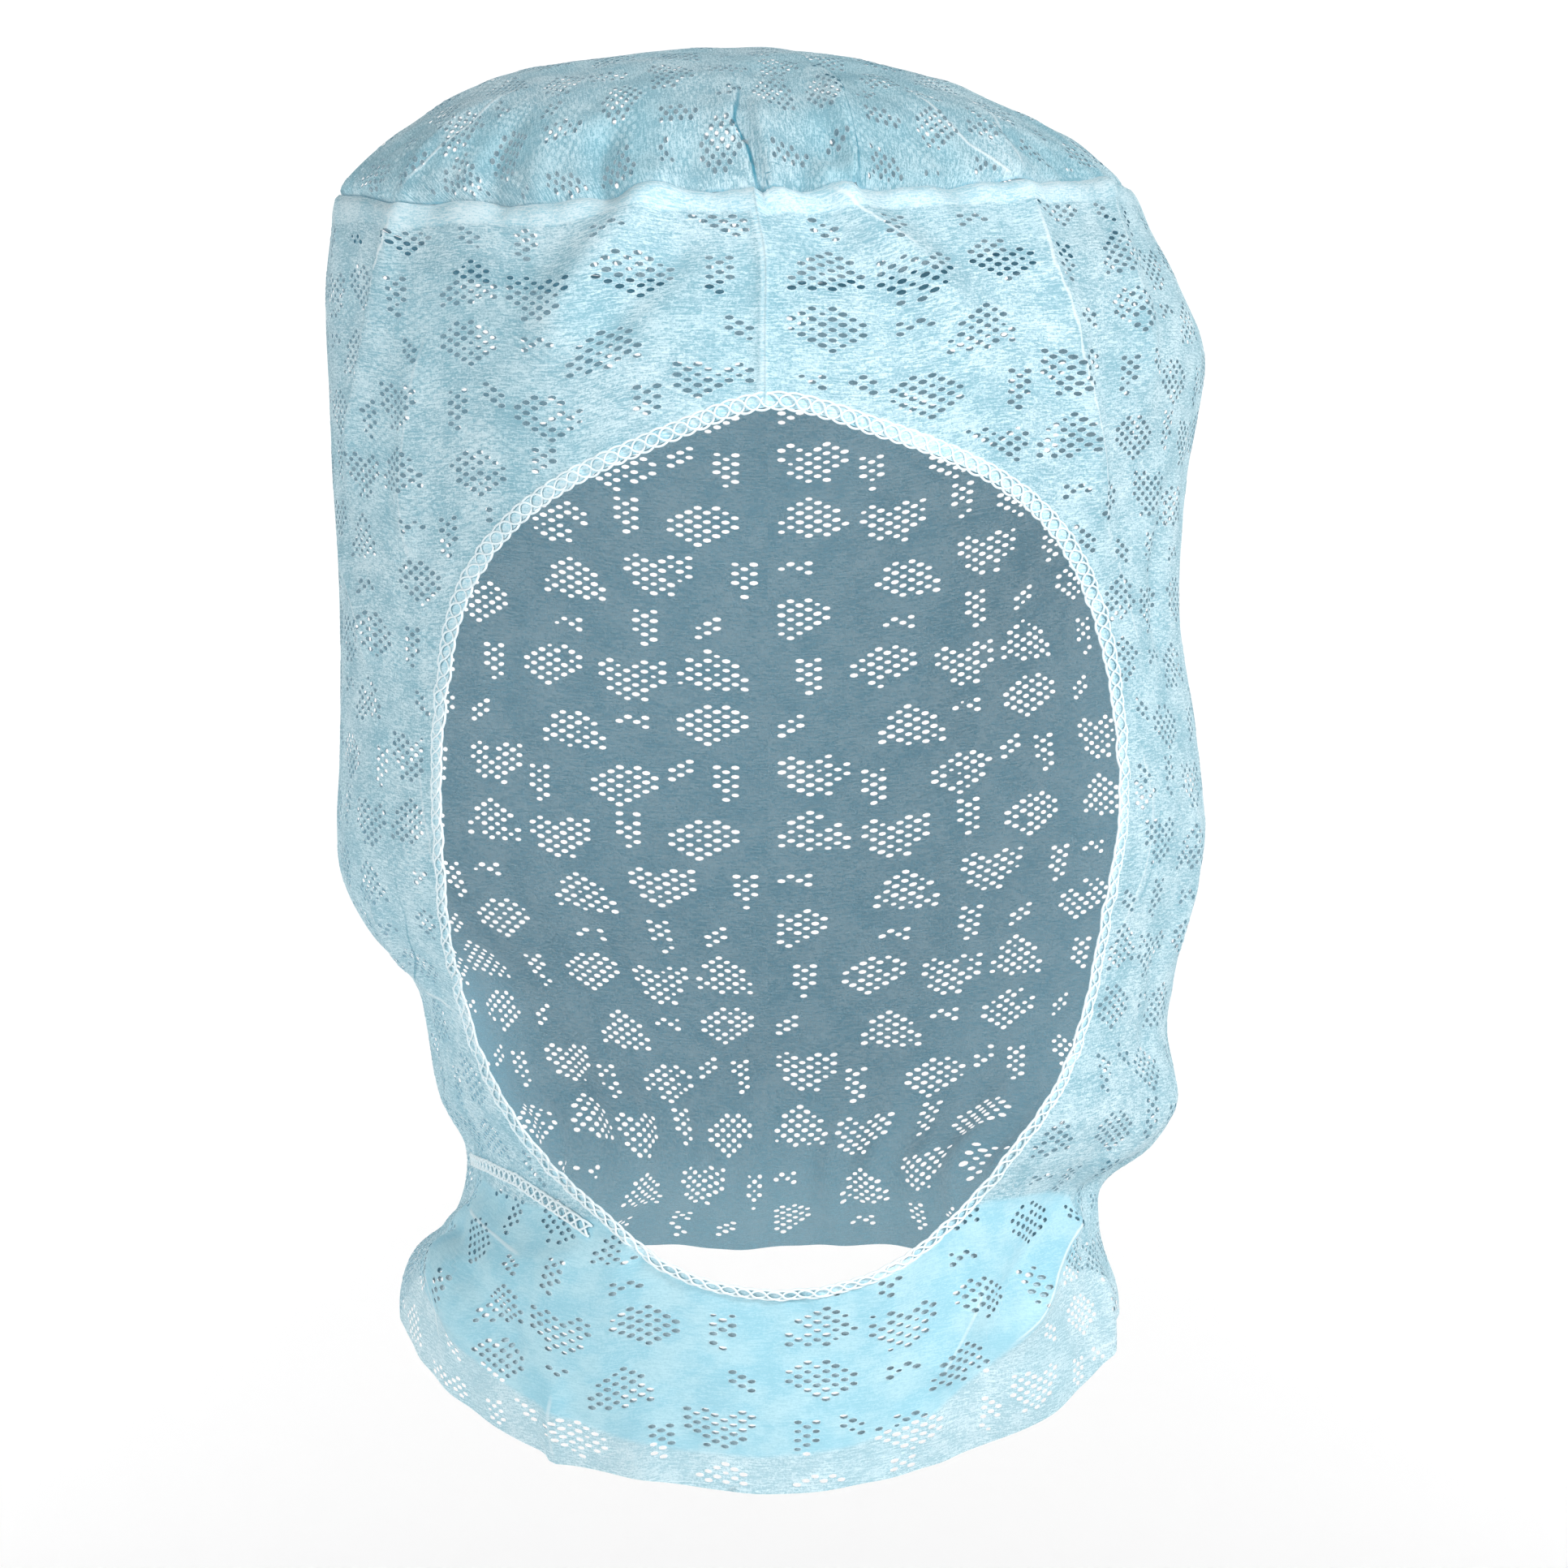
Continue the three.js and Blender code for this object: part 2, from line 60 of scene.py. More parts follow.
# The worn form, the same one the CAD walls follow, in millimetres. The rows are level sections:
# height, left, right, front, back, middle depth, middle across, superellipse power
sectionRows = {
    "bibTip": (-284, -60, 62, -67, 88, 5, 0, 2.2),
    "bib": (-267, -71, 70.5, -75, 90, 4, 0, 2.2),
    "skirt": (-250, -73.5, 70.7, -83, 90, 3, 0, 2.2),
    "flare": (-241, -70.5, 68, -87.5, 86, 2, 0, 2.2),
    "throat": (-234.6, -63, 66.8, -90, 80, 0, 0, 2.15),
    "neck": (-227, -60, 67.6, -92, 77, 0, 0, 2.1),
    "underJaw": (-219, -60, 77.3, -94, 77, 0, 0, 2.1),
    "jaw": (-210, -65.2, 82.5, -96, 80, 0, 0, 2.1),
    "lowCheek": (-197, -68, 80.5, -99, 87, 0, 0, 2.05),
    "cheek": (-187, -70.8, 81.8, -101, 92, 0, 0, 2.05),
    "cheekFold": (-177, -79.5, 84, -102, 97, 0, 0, 2.0),
    "highCheek": (-166, -85.2, 86.8, -103, 101, 0, 0, 2.0),
    "earLobe": (-155, -86.5, 88.1, -103.5, 104, 0, 0, 2.0),
    "ear": (-137, -85.7, 86.2, -103.5, 106, 0, 0, 2.0),
    "temple": (-112, -85.7, 83, -103, 107, 0, 0, 2.0),
    "brow": (-87, -87.2, 84.5, -102.5, 105, 0, 0, 2.05),
    "forehead": (-62, -88.3, 87.7, -100.5, 99, 0, 0, 2.1),
    "highForehead": (-48, -88.5, 83.2, -97, 94, 0, 0, 2.15),
    "underSeam": (-37, -87.4, 77.5, -91.5, 88, 0, -2, 2.15),
    "crownSeam": (-28, -85.7, 72.6, -84.5, 80, 0, -3, 2.15),
    "lowCrown": (-18, -75, 60.5, -76, 69, 0, -4, 2.1),
    "crown": (-10, -63.5, 44.5, -61, 58, 0, -5, 2.05),
    "highCrown": (-4.6, -51, 30, -43, 45, 0, -6, 2.0),
    "topCrown": (-1.1, -27, 14, -22, 26, 0, -7, 2.0),
    "apex": (1.2, -7, -7, 0, 0, 0, -7, 2.0),
}
# turn, height of the crown seam
seamRows = [
    (-180, -40), (-130, -35), (-90, -29.5), (-66, -31.5), (-51, -35), (-38, -34.8), (-25, -36.2),
    (-15, -34.2), (0, -34.4), (13, -34.6), (30, -31.6), (42, -31.2), (58, -29), (90, -28), (130, -33),
    (180, -40),
]
# turn, height of the cut hem
hemRows = [
    (-180, -245.6), (-125, -246), (-98, -249.8), (-84, -253.8), (-75, -257.4), (-67, -262), (-58, -267.8),
    (-48, -273.1), (-38, -277.7), (-29, -279.8), (-20, -281.4), (-8, -283.2), (2, -284), (16, -281.8),
    (27, -278.5), (36, -275.8), (46, -272.4), (54, -269), (62, -264.4), (69, -260), (80, -254.6),
    (95, -250.2), (125, -246), (180, -245.6),
]
# height, left, right of the face opening as seen from the front
openingPeak, openingChin = (1, -76.8), (1, -243.3)
openingRows = [
    (-82, -15.7, 21.8), (-91, -36, 44.3), (-100, -48.7, 54.8), (-113.5, -57.4, 62.2), (-132, -61.3, 66.8),
    (-151, -62.1, 68), (-179, -60.2, 63.4), (-198, -55.3, 58.8), (-216.3, -44.3, 47.2), (-228.5, -31, 36.5),
    (-238.7, -17.2, 23.4),
]
circle = 721  # places round the form, half a degree apart


def cubic(f, first, firstSlope, last, lastSlope):
    # runs smoothly from first to last as f goes from 0 to 1
    return (
        (2 * f**3 - 3 * f**2 + 1) * first
        + (f**3 - 2 * f**2 + f) * firstSlope
        + (3 * f**2 - 2 * f**3) * last
        + (f**3 - f**2) * lastSlope
    )


def ease(value, low, high):
    f = np.clip((value - low) / (high - low), 0, 1)
    return f * f * (3 - 2 * f)


def unit(vectors):
    return vectors / np.maximum(np.linalg.norm(vectors, axis=1), 1e-9)[:, None]


sections = np.array(list(sectionRows.values()), float)
lastLevel = len(sections) - 1
before = np.diff(sections, axis=0, prepend=sections[:1])
after = np.diff(sections, axis=0, append=sections[-1:])
sectionSlopes = (before + after) / 2
sectionSlopes[0], sectionSlopes[-1] = after[0], before[-1]
# heights take the harmonic mean, so that they always rise from section to section
below, above = before[1:-1, 0], after[1:-1, 0]
sectionSlopes[1:-1, 0] = 2 * below * above / (below + above)
sectionSlopes[-1, 0] = 0


def sectionAt(level):
    level = np.clip(level, 0, lastLevel)
    i = np.minimum(level.astype(int), lastLevel - 1)
    f = (level - i)[:, None]
    return cubic(f, sections[i], sectionSlopes[i], sections[i + 1], sectionSlopes[i + 1])


levelLine = np.linspace(0, lastLevel, 2401)
heightOfLevel = sectionAt(levelLine)[:, 0]


def levelAt(height):
    return np.interp(height, heightOfLevel, levelLine)


def formPoint(turn, level):
    # turn is degrees round from the centre front, positive to +X
    height, left, right, front, back, mid, axis, square = sectionAt(level).T
    side, rear = np.sin(np.radians(turn)), -np.cos(np.radians(turn))
    across = np.sign(side) * np.abs(side) ** (2 / square)
    deep = np.sign(rear) * np.abs(rear) ** (2 / square)
    x = axis + across * np.where(side > 0, right - axis, axis - left)
    y = mid + deep * np.where(rear > 0, back - mid, mid - front)
    return np.stack([x, y, height], 1)


def formNormal(turn, level, levelStep=0.04, turnStep=0.6):
    upper = np.minimum(level + levelStep, lastLevel - 0.001)
    up = formPoint(turn, upper) - formPoint(turn, np.maximum(level - levelStep, 0))
    around = formPoint(turn + turnStep, level) - formPoint(turn - turnStep, level)
    normal = unit(np.cross(around, up))
    normal[level > lastLevel - 0.05] = (0, 0, 1)
    return normal


def onForm(turn, level):
    # points of the bare form and the way out of it there
    return formPoint(turn, level), formNormal(turn, level)


def heightAlong(rows, turn):
    # a smooth curve through rows of turn and height
    turns, heights = np.array(rows, float).T
    slopes = np.zeros(len(turns))
    slopes[1:-1] = (heights[2:] - heights[:-2]) / (turns[2:] - turns[:-2])
    turn = (np.asarray(turn, float) + 540) % 360 - 180
    i = np.clip(np.searchsorted(turns, turn, "right") - 1, 0, len(turns) - 2)
    span = turns[i + 1] - turns[i]
    return cubic((turn - turns[i]) / span, heights[i], span * slopes[i], heights[i + 1], span * slopes[i + 1])


seamHeight, hemHeight = partial(heightAlong, seamRows), partial(heightAlong, hemRows)

# the face opening's line is a closed centripetal curve through its rows, in the front view
openingKnots = np.array(
    [openingPeak]
    + [(right, height) for height, left, right in openingRows]
    + [openingChin]
    + [(left, height) for height, left, right in reversed(openingRows)],
    float,
)


def centripetal(knots, steps):
    path = []
    for i in range(len(knots)):
        p = [knots[(i + k) % len(knots)] for k in (-1, 0, 1, 2)]
        gap = [np.linalg.norm(p[k + 1] - p[k]) ** 0.5 for k in range(3)]
        start = (p[1] - p[0]) / gap[0] - (p[2] - p[0]) / (gap[0] + gap[1]) + (p[2] - p[1]) / gap[1]
        end = (p[2] - p[1]) / gap[1] - (p[3] - p[1]) / (gap[1] + gap[2]) + (p[3] - p[2]) / gap[2]
        path += [cubic(f, p[1], start * gap[1], p[2], end * gap[1]) for f in np.arange(steps) / steps]
    return np.array(path)


def runOf(path):
    # how far along the path each of its points is
    return np.append(0, np.cumsum(np.linalg.norm(np.diff(path, axis=0), axis=1)))


def evenPath(path, count):
    # a closed path again, with its points evenly spaced
    loop = np.vstack([path, path[:1]])
    along = runOf(loop)
    wanted = np.linspace(0, along[-1], count, endpoint=False)
    return np.stack([np.interp(wanted, along, column) for column in loop.T], 1)


def turnAcross(across, height, widest=95.0, halvings=32):
    # the turn, on the front, at which the bare form is this far across at this height
    level = levelAt(height)
    low, high = np.full(len(level), -widest), np.full(len(level), widest)
    for _ in range(halvings):
        middle = (low + high) / 2
        short = formPoint(middle, level)[:, 0] < across
        low, high = np.where(short, middle, low), np.where(short, high, middle)
    return (low + high) / 2


def nearestOn(points, path):
    # for each point: distance to the path, the nearest piece of it, the share along that piece, and the offset
    best, offset = np.full(len(points), 1e9), np.zeros(points.shape)
    piece, share = np.zeros(len(points), int), np.zeros(len(points))
    for i, (a, b) in enumerate(zip(path, path[1:])):
        ab = b - a
        if ab @ ab < 1e-6:  # the same point twice
            continue
        along = np.clip((points - a) @ ab / (ab @ ab), 0, 1)
        gap = points - a - along[:, None] * ab
        distance = np.linalg.norm(gap, axis=1)
        better = distance < best
        best[better], piece[better], share[better], offset[better] = distance[better], i, along[better], gap[better]
    return best, piece, share, offset


# the overlocked edge covers the cloth from the opening's line outwards, broadest over the brow
edgeBand = dict(wide=3.5, narrow=1.9, wideAbove=-100, narrowBelow=-155, steps=360)
openingLine = evenPath(centripetal(openingKnots, 16), edgeBand["steps"])
openingLoop = np.vstack([openingLine, openingLine[:1]])
edgeLoop = formPoint(turnAcross(*openingLoop.T), levelAt(openingLoop[:, 1]))  # the same line on the cloth
edgeAlong = runOf(edgeLoop)
edgeLength = edgeAlong[-1]


def edgeWidth(height):
    broad = ease(height, edgeBand["narrowBelow"], edgeBand["wideAbove"])
    return edgeBand["narrow"] + (edgeBand["wide"] - edgeBand["narrow"]) * broad


def nearEdge(points, far=60.0):
    # distance from the opening's line, positive on the cloth, and how far along the line
    away, along = np.full(len(points), far), np.zeros(len(points))
    x, y, z = points.T
    close = np.flatnonzero((y < 0) & (z < -60) & (np.abs(x) < 86))  # the front, round the opening
    best, piece, share, offset = nearestOn(points[close], edgeLoop)
    ahead = np.diff(edgeLoop, axis=0)[piece]
    # the line runs clockwise seen from the front, so the opening is on its right
    inside = ahead[:, 0] * offset[:, 2] - ahead[:, 2] * offset[:, 0] < 0
    away[close] = best * np.where(inside, -1, 1)
    along[close] = edgeAlong[piece] + share * np.diff(edgeAlong)[piece]
    return away, along


# Folds of the worn cloth: width, rise (or dent), the shares of its length over which each fades in and out, and
# its path of turn and height. lean makes one side steeper, crisp keeps the crest sharp, as on cloth that was
# packed flat, and step lifts one side of a tuck over the other.
folds = [
    # the crown: tuck, pleat, creases and grooves
    (3.4, 2.6, 0, 0.6, [(2.4, -35), (2.0, -24), (1.6, -13)], dict(lean=-0.6)),
    (4.5, 0, 0.5, 0, [(-1.6, -9), (-0.6, -14), (-1.6, -20), (-0.2, -26), (0.4, -36)], dict(step=0.9)),
    (4.4, 2.4, 0, 0.6, [(12, -35), (16.5, -13), (16, -6)], dict(lean=-0.5)),
    (5, 0, 0.6, 0, [(24, -1.5), (21, -4), (20, -7), (19, -12), (15.5, -20), (12.6, -36)], dict(step=0.9)),
    (5, 1.8, 0, 0.5, [(-50, -33), (-52, -18), (-39, -10)], dict(crisp=True)),
    (5, 1.8, 0, 0.5, [(40, -33), (41, -22), (44, -14)], dict(crisp=True)),
    (3.5, -2.2, 0, 0.4, [(-17, -35), (-19, -26), (-20, -18)]),
    (4, -1.9, 0, 0.4, [(-33, -35), (-36, -24), (-38, -16)]),
    (4, -1.8, 0, 0.4, [(28, -33), (29, -22), (31, -15)]),
    # the sides and brow
    (5, 3.0, 0, 0.35, [(-51, -34), (-56, -53), (-62, -69), (-72, -92)], dict(crisp=True)),
    (4.5, 1.8, 0.25, 0.25, [(-47, -58), (-50, -75), (-52.8, -91), (-52, -106)]),
    (5, 3.0, 0, 0.3, [(40, -33), (38.5, -48), (41.4, -65), (53, -104)], dict(crisp=True)),
    (5, 2.0, 0, 0.4, [(62, -31), (57, -48), (56, -62), (60, -84)]),
    (4.5, 3.2, 0, 0.5, [(9, -33), (14, -43), (19, -50), (29, -68)], dict(lean=0.5)),
    (4, -1.9, 0.25, 0.25, [(4, -38), (11, -52), (20, -68)]),
    (6, 3.2, 0, 0.5, [(-11, -34), (-18, -46), (-24, -56), (-30, -70)], dict(lean=-0.4)),
    (4, -1.8, 0.25, 0.25, [(-6, -42), (-14, -53), (-22, -66)]),
    # temples, cheeks and jaw
    (4.5, 2.3, 0.25, 0.25, [(-78, -96), (-68, -112), (-62, -124)]),
    (5, -2.0, 0.25, 0.25, [(72, -82), (68, -104), (70, -126)]),
    (5, 1.2, 0.25, 0.25, [(-63, -166), (-73, -182), (-66, -191)], dict(lean=0.5)),
    (6, -1.6, 0.4, 0.4, [(-84, -194), (-74, -205)]),
    (6, 1.5, 0.25, 0.25, [(72, -148), (76, -168), (73, -186)]),
    (5, -1.3, 0.25, 0.25, [(66, -176), (70, -190), (66, -204)]),
    (6, 1.7, 0.25, 0.25, [(80, -203), (66, -216), (56, -225)]),
    (5, -1.6, 0.25, 0.25, [(84, -222), (72, -226), (60, -232)]),
    # throat, neck and hem
    (4.5, 3.0, 0.25, 0.25, [(72, -228), (59, -234.4), (51, -242), (44, -250), (36, -259)], dict(crisp=True)),
    (3.6, -1.9, 0.25, 0.25, [(54, -233), (44, -242), (36, -250)]),
    (4, 1.2, 0.25, 0.25, [(37, -241), (29.5, -253.7), (24, -264)]),
    (5, 2.6, 0.25, 0.25, [(-74, -235), (-58, -245), (-46, -260)]),
    (3.6, -2.0, 0.25, 0.25, [(-58, -238), (-45, -248), (-37, -260)]),
    (4, 2, 0.25, 0.25, [(-88, -236), (-66, -232), (-46, -237)]),
    (4, 1.7, 0.4, 0, [(70, -241), (70, -262)]),
    (3.2, 1.6, 0.5, 0, [(-31, -258), (-34.5, -270), (-38, -280)], dict(lean=0.6)),
    (4, 0.9, 0.5, 0, [(20, -264), (26, -272), (30, -281)]),
    # nape, gathers and back
    (7, -2.4, 0, 0.4, [(-150, -248), (-146, -224), (-138, -196)]),
    (7, -2.4, 0, 0.4, [(-176, -248), (-178, -220), (178, -192)]),
    (7, -2.4, 0, 0.4, [(148, -248), (145, -222), (136, -198)]),
    (6, -1.8, 0, 0.4, [(-112, -248), (-110, -222), (-104, -202)]),
    (6, -1.8, 0, 0.4, [(114, -248), (112, -224), (106, -204)]),
    (5, 1.5, 0, 0.4, [(-128, -32), (-131, -70), (-136, -120)], dict(crisp=True)),
    (5, 1.5, 0, 0.4, [(132, -32), (134, -64), (140, -110)], dict(crisp=True)),
    (7, -1.5, 0.3, 0.3, [(-160, -66), (178, -78), (156, -70)]),
]


def foldPath(path):
    # a path of turn and height as points on the form
    points, share = [], np.linspace(0, 1, 5)
    for (turnA, heightA), (turnB, heightB) in zip(path, path[1:]):
        turnB -= 360 * round((turnB - turnA) / 360)  # the short way round
        points.append(formPoint(turnA + (turnB - turnA) * share, levelAt(heightA + (heightB - heightA) * share)))
    return np.vstack(points)


def awayFrom(points, path, normals):
    # distance to a path, on which side of it, and how far along it from 0 to 1
    best, piece, share, offset = nearestOn(points, path)
    ahead, run = np.diff(path, axis=0)[piece], runOf(path)
    side = np.sign(np.einsum("ij,ij->i", np.cross(ahead, normals), offset))
    return best, side, (run[piece] + share * np.diff(run)[piece]) / run[-1]


def closeTo(points, path, reach):
    return np.flatnonzero(np.all((points > path.min(axis=0) - reach) & (points < path.max(axis=0) + reach), axis=1))


def foldRise(points, normals):
    # how far the folds lift the cloth off the form
    ridge, dent, step = np.zeros(len(points)), np.zeros(len(points)), np.zeros(len(points))
    for width, rise, fadeIn, fadeOut, spots, *kind in folds:
        path, kind = foldPath(spots), kind[0] if kind else {}
        close = closeTo(points, path, 3.2 * width)  # further off it is nothing
        away, side, along = awayFrom(points[close], path, normals[close])
        away = away / width * (1 + np.maximum(side * kind.get("lean", 0), 0))
        shape = np.exp(-(away**2))
        if kind.get("crisp"):
            shape = np.exp(-1.5 * (np.sqrt(away**2 + 0.02) - 0.14)) * np.exp(-((away / 2) ** 4))
        shape *= ease(along, -0.01, fadeIn) * ease(1 - along, -0.01, fadeOut)
        ridge[close] = np.maximum(ridge[close], rise * shape)
        dent[close] = np.minimum(dent[close], rise * shape)
        step[close] += kind.get("step", 0) * side * shape
    return ridge + dent + step


print("form ready")

# Where a point of the flat cut lies on the form: u is millimetres round from the centre front,
# v millimetres down from the crown seam. The front of the wrap lies nearly as cut, and what is spare at the neck
# is gathered towards the back.
cellWide, cellTall = 1.94, 1.0  # one place of the aperture lattice
wrapColumns, wrapRows = 304, 266
wrapHalf, wrapDeep = wrapColumns / 2 * cellWide, wrapRows * cellTall
turnLine, heightLine = np.linspace(-180, 180, circle), np.linspace(-290, -24, 267)
shareLine, downLine = np.linspace(-1, 1, 591), np.arange(-4, wrapDeep + 6, 1.0)


def ringsAt(levels):
    return np.array([formPoint(turnLine, np.full(circle, level)) for level in levels])


def lengthAlong(rings, axis):
    # millimetres run along the rings (axis 1) or from ring to ring (axis 0)
    steps = np.linalg.norm(np.diff(rings, axis=axis), axis=2)
    return np.insert(np.cumsum(steps, axis=axis), 0, 0, axis=axis)


rings = ringsAt(levelAt(heightLine))
roundArc, downArc = lengthAlong(rings, 1), lengthAlong(rings, 0)
roundArc -= roundArc[:, circle // 2 : circle // 2 + 1]


def frontShare(half):
    # how far the cloth at the front is drawn in, where half the way round is shorter than half the cut
    return (1 - 0.5 * (1 - half / wrapHalf)) / (half / wrapHalf)


turnTable = np.zeros((len(heightLine), len(shareLine)))
for i, arc in enumerate(roundArc):
    half = np.where(shareLine > 0, arc[-1], -arc[0])
    first, share = frontShare(half), np.abs(shareLine)
    reach = half * (first * share + (1 - first) * share**3)
    turnTable[i] = np.interp(np.sign(shareLine) * reach, arc, turnLine)
heightTable = np.zeros((circle, len(downLine)))
for i, turn in enumerate(turnLine):
    atSeam = np.interp(seamHeight(turn), heightLine, downArc[:, i])
    heightTable[i] = np.interp(atSeam - downLine, downArc[:, i], heightLine)


def lookUp(table, rowLine, columnLine, row, column):
    def place(line, value):
        at = np.clip((value - line[0]) / (line[1] - line[0]), 0, len(line) - 1.0001)
        return at.astype(int), at - at.astype(int)

    (i, f), (j, g) = place(rowLine, row), place(columnLine, column)
    lower = table[i, j] * (1 - g) + table[i, j + 1] * g
    upper = table[i + 1, j] * (1 - g) + table[i + 1, j + 1] * g
    return lower * (1 - f) + upper * f


def wrapSpot(flat):
    # turn and height of a point of the flat cut
    u, v = flat[:, 0] / wrapHalf, flat[:, 1]
    turn = lookUp(turnTable, heightLine, shareLine, np.full(len(u), -120.0), u)
    for _ in range(6):
        height = lookUp(heightTable, turnLine, downLine, turn, v)
        turn = lookUp(turnTable, heightLine, shareLine, height, u)
    return turn, height


def wrapFlat(turn, height):
    # the other way: the place on the flat cut of a turn and height
    left, right = (np.interp(height, heightLine, np.abs(roundArc[:, end])) for end in (0, -1))
    half = np.where(turn > 0, right, left)
    first = frontShare(half)
    wanted = np.abs(lookUp(roundArc, heightLine, turnLine, height, turn)) / half
    share = wanted.copy()
    for _ in range(8):
        share -= (first * share + (1 - first) * share**3 - wanted) / (first + 3 * (1 - first) * share**2)
    atSeam, here = (lookUp(downArc, heightLine, turnLine, at, turn) for at in (seamHeight(turn), height))
    return np.stack([np.sign(turn) * share * wrapHalf, atSeam - here], 1)


# the crown is laid out round its apex: distance down the slope, in the direction of the turn
crownLevels = np.linspace(lastLevel, levelAt(-41.0), 141)
crownArc = lengthAlong(ringsAt(crownLevels), 0)
crownLine = np.linspace(0, 125, 251)
crownTable = np.array([np.interp(crownLine, crownArc[:, i], crownLevels) for i in range(circle)])


def crownSpot(flat):
    # flat is across and back-to-front, with the front at the negative end as on the form
    turn = np.degrees(np.arctan2(flat[:, 0], -flat[:, 1]))
    return turn, lookUp(crownTable, turnLine, crownLine, turn, np.hypot(flat[:, 0], flat[:, 1]))


# Spunlaced cloth is opened on a staggered lattice. In a chart each word is a half row, 1 mm tall, and each
# character a column, 1.94 mm wide; o is an aperture.
charts = {
    "wedge": "....o... ...o.o.. ..o.o.o. .o.o.o.. ..o.o.o. .o.o.o.o o.o.o.o. .o.o.o.o o.o.o...",
    "fan": "o.o...o. .o.o.o.o o.o.o.o. .o.o.o.o o.o.o.o. .o.o.o.. ..o.o.o. ...o.o.. ..o.o...",
    "lozenge": "..o.o... .o.o.o.. o.o.o.o. .o.o.o.o o.o.o.o. .o.o.o.o ..o.o.o. ...o.o.. ....o...",
    "stem": "o.o .o. o.o .o. o.o .o. o.. .o.",
    "sprig": "o.. .o. o.o .o. ..o",
    "speck": "o.o. .o.o o...",
}
# chart, column, half row, within a repeat of 38 columns and 68 half rows
repeatWide, repeatTall = 38, 68
layout = [
    ("wedge", 0, 0), ("lozenge", 12, 2), ("stem", 23, 1), ("fan", 29, 3),
    ("speck", 4, 14), ("stem", 10, 14), ("fan", 17, 13), ("wedge", 27, 15),
    ("lozenge", 2, 22), ("sprig", 14, 26), ("stem", 21, 25), ("speck", 30, 28),
    ("wedge", 10, 33), ("fan", 20, 36), ("lozenge", 30, 34), ("stem", 3, 35),
    ("sprig", 5, 47), ("lozenge", 11, 45), ("speck", 22, 48), ("wedge", 27, 47),
    ("fan", 0, 56), ("stem", 12, 58), ("sprig", 17, 57), ("lozenge", 20, 59), ("stem", 34, 60),
]
apertureGrid = np.zeros((repeatTall, repeatWide), bool)
for name, column, row in layout:
    shift = (column + row) % 2  # keeps every aperture on the same staggered lattice
    for j, line in enumerate(charts[name].split()):
        for i, place in enumerate(line):
            if place == "o":
                apertureGrid[(row + j) % repeatTall, (column + i + shift) % repeatWide] = True
print("flat cut laid out,", int(apertureGrid.sum()), "apertures in a repeat")


def flatGrid(countU, countV, cellU, cellV, startU, startV):
    # startU, startV is the corner with the least u and v; y of the flat mesh is -v, so that faces look outwards
    sheet = bmesh.new()
    sized = Matrix.Diagonal((countU * cellU, countV * cellV, 1, 1))
    moved = Matrix.Translation((startU + countU * cellU / 2, -startV - countV * cellV / 2, 0))
    bmesh.ops.create_grid(sheet, x_segments=countU, y_segments=countV, size=0.5, matrix=moved @ sized)
    sheet.faces.ensure_lookup_table()
    sheet.verts.ensure_lookup_table()
    return sheet


def flatOf(verts):
    # u, v of flat vertices
    return np.array([(vert.co.x, -vert.co.y) for vert in verts])


def trimSheet(sheet, awayAt, reach=2.4, furthest=1.7, nudge=0.05):
    # cuts the sheet to where awayAt is positive and eases its stepped edge, within reach of the line, onto it
    away = awayAt(flatOf(sheet.verts))
    corners = np.array([[vert.index for vert in face.verts] for face in sheet.faces])
    spare = away[corners].mean(axis=1) < 0
    bmesh.ops.delete(sheet, geom=[face for face, gone in zip(sheet.faces, spare) if gone], context="FACES")
    sheet.verts.index_update()
    rim = [vert for vert in sheet.verts if vert.is_boundary]
    moving = np.abs(awayAt(flatOf(rim))) < reach
    rim = [vert for vert, keep in zip(rim, moving) if keep]
    start = flatOf(rim)
    place = start.copy()
    for _ in range(3):  # three steps down the slope bring it onto the line
        value = awayAt(place)
        slope = np.stack([awayAt(place + way) - awayAt(place - way) for way in ((nudge, 0), (0, nudge))], 1)
        slope /= 2 * nudge
        place = place - value[:, None] * slope / np.maximum((slope**2).sum(axis=1), 0.2)[:, None]
    shift = place - start
    length = np.linalg.norm(shift, axis=1)
    place = start + shift * np.minimum(1, furthest / np.maximum(length, 1e-6))[:, None]
    for vert, (u, v) in zip(rim, place):
        vert.co.x, vert.co.y = u, -v


apertureCut = dict(
    size=0.98,  # against the whole of its place, with a little spread
    spread=0.08,
    least=0.7,
    most=1.04,
    small=0.06,  # the share that half closed again in making
    smallSize=0.7,
    lost=0.03,  # and the share that never opened
    tilt=0.05,
    long=0.47,  # half width and half height against the place
    tall=0.465,
    raised=0.08,  # mm, the rim stands proud
)


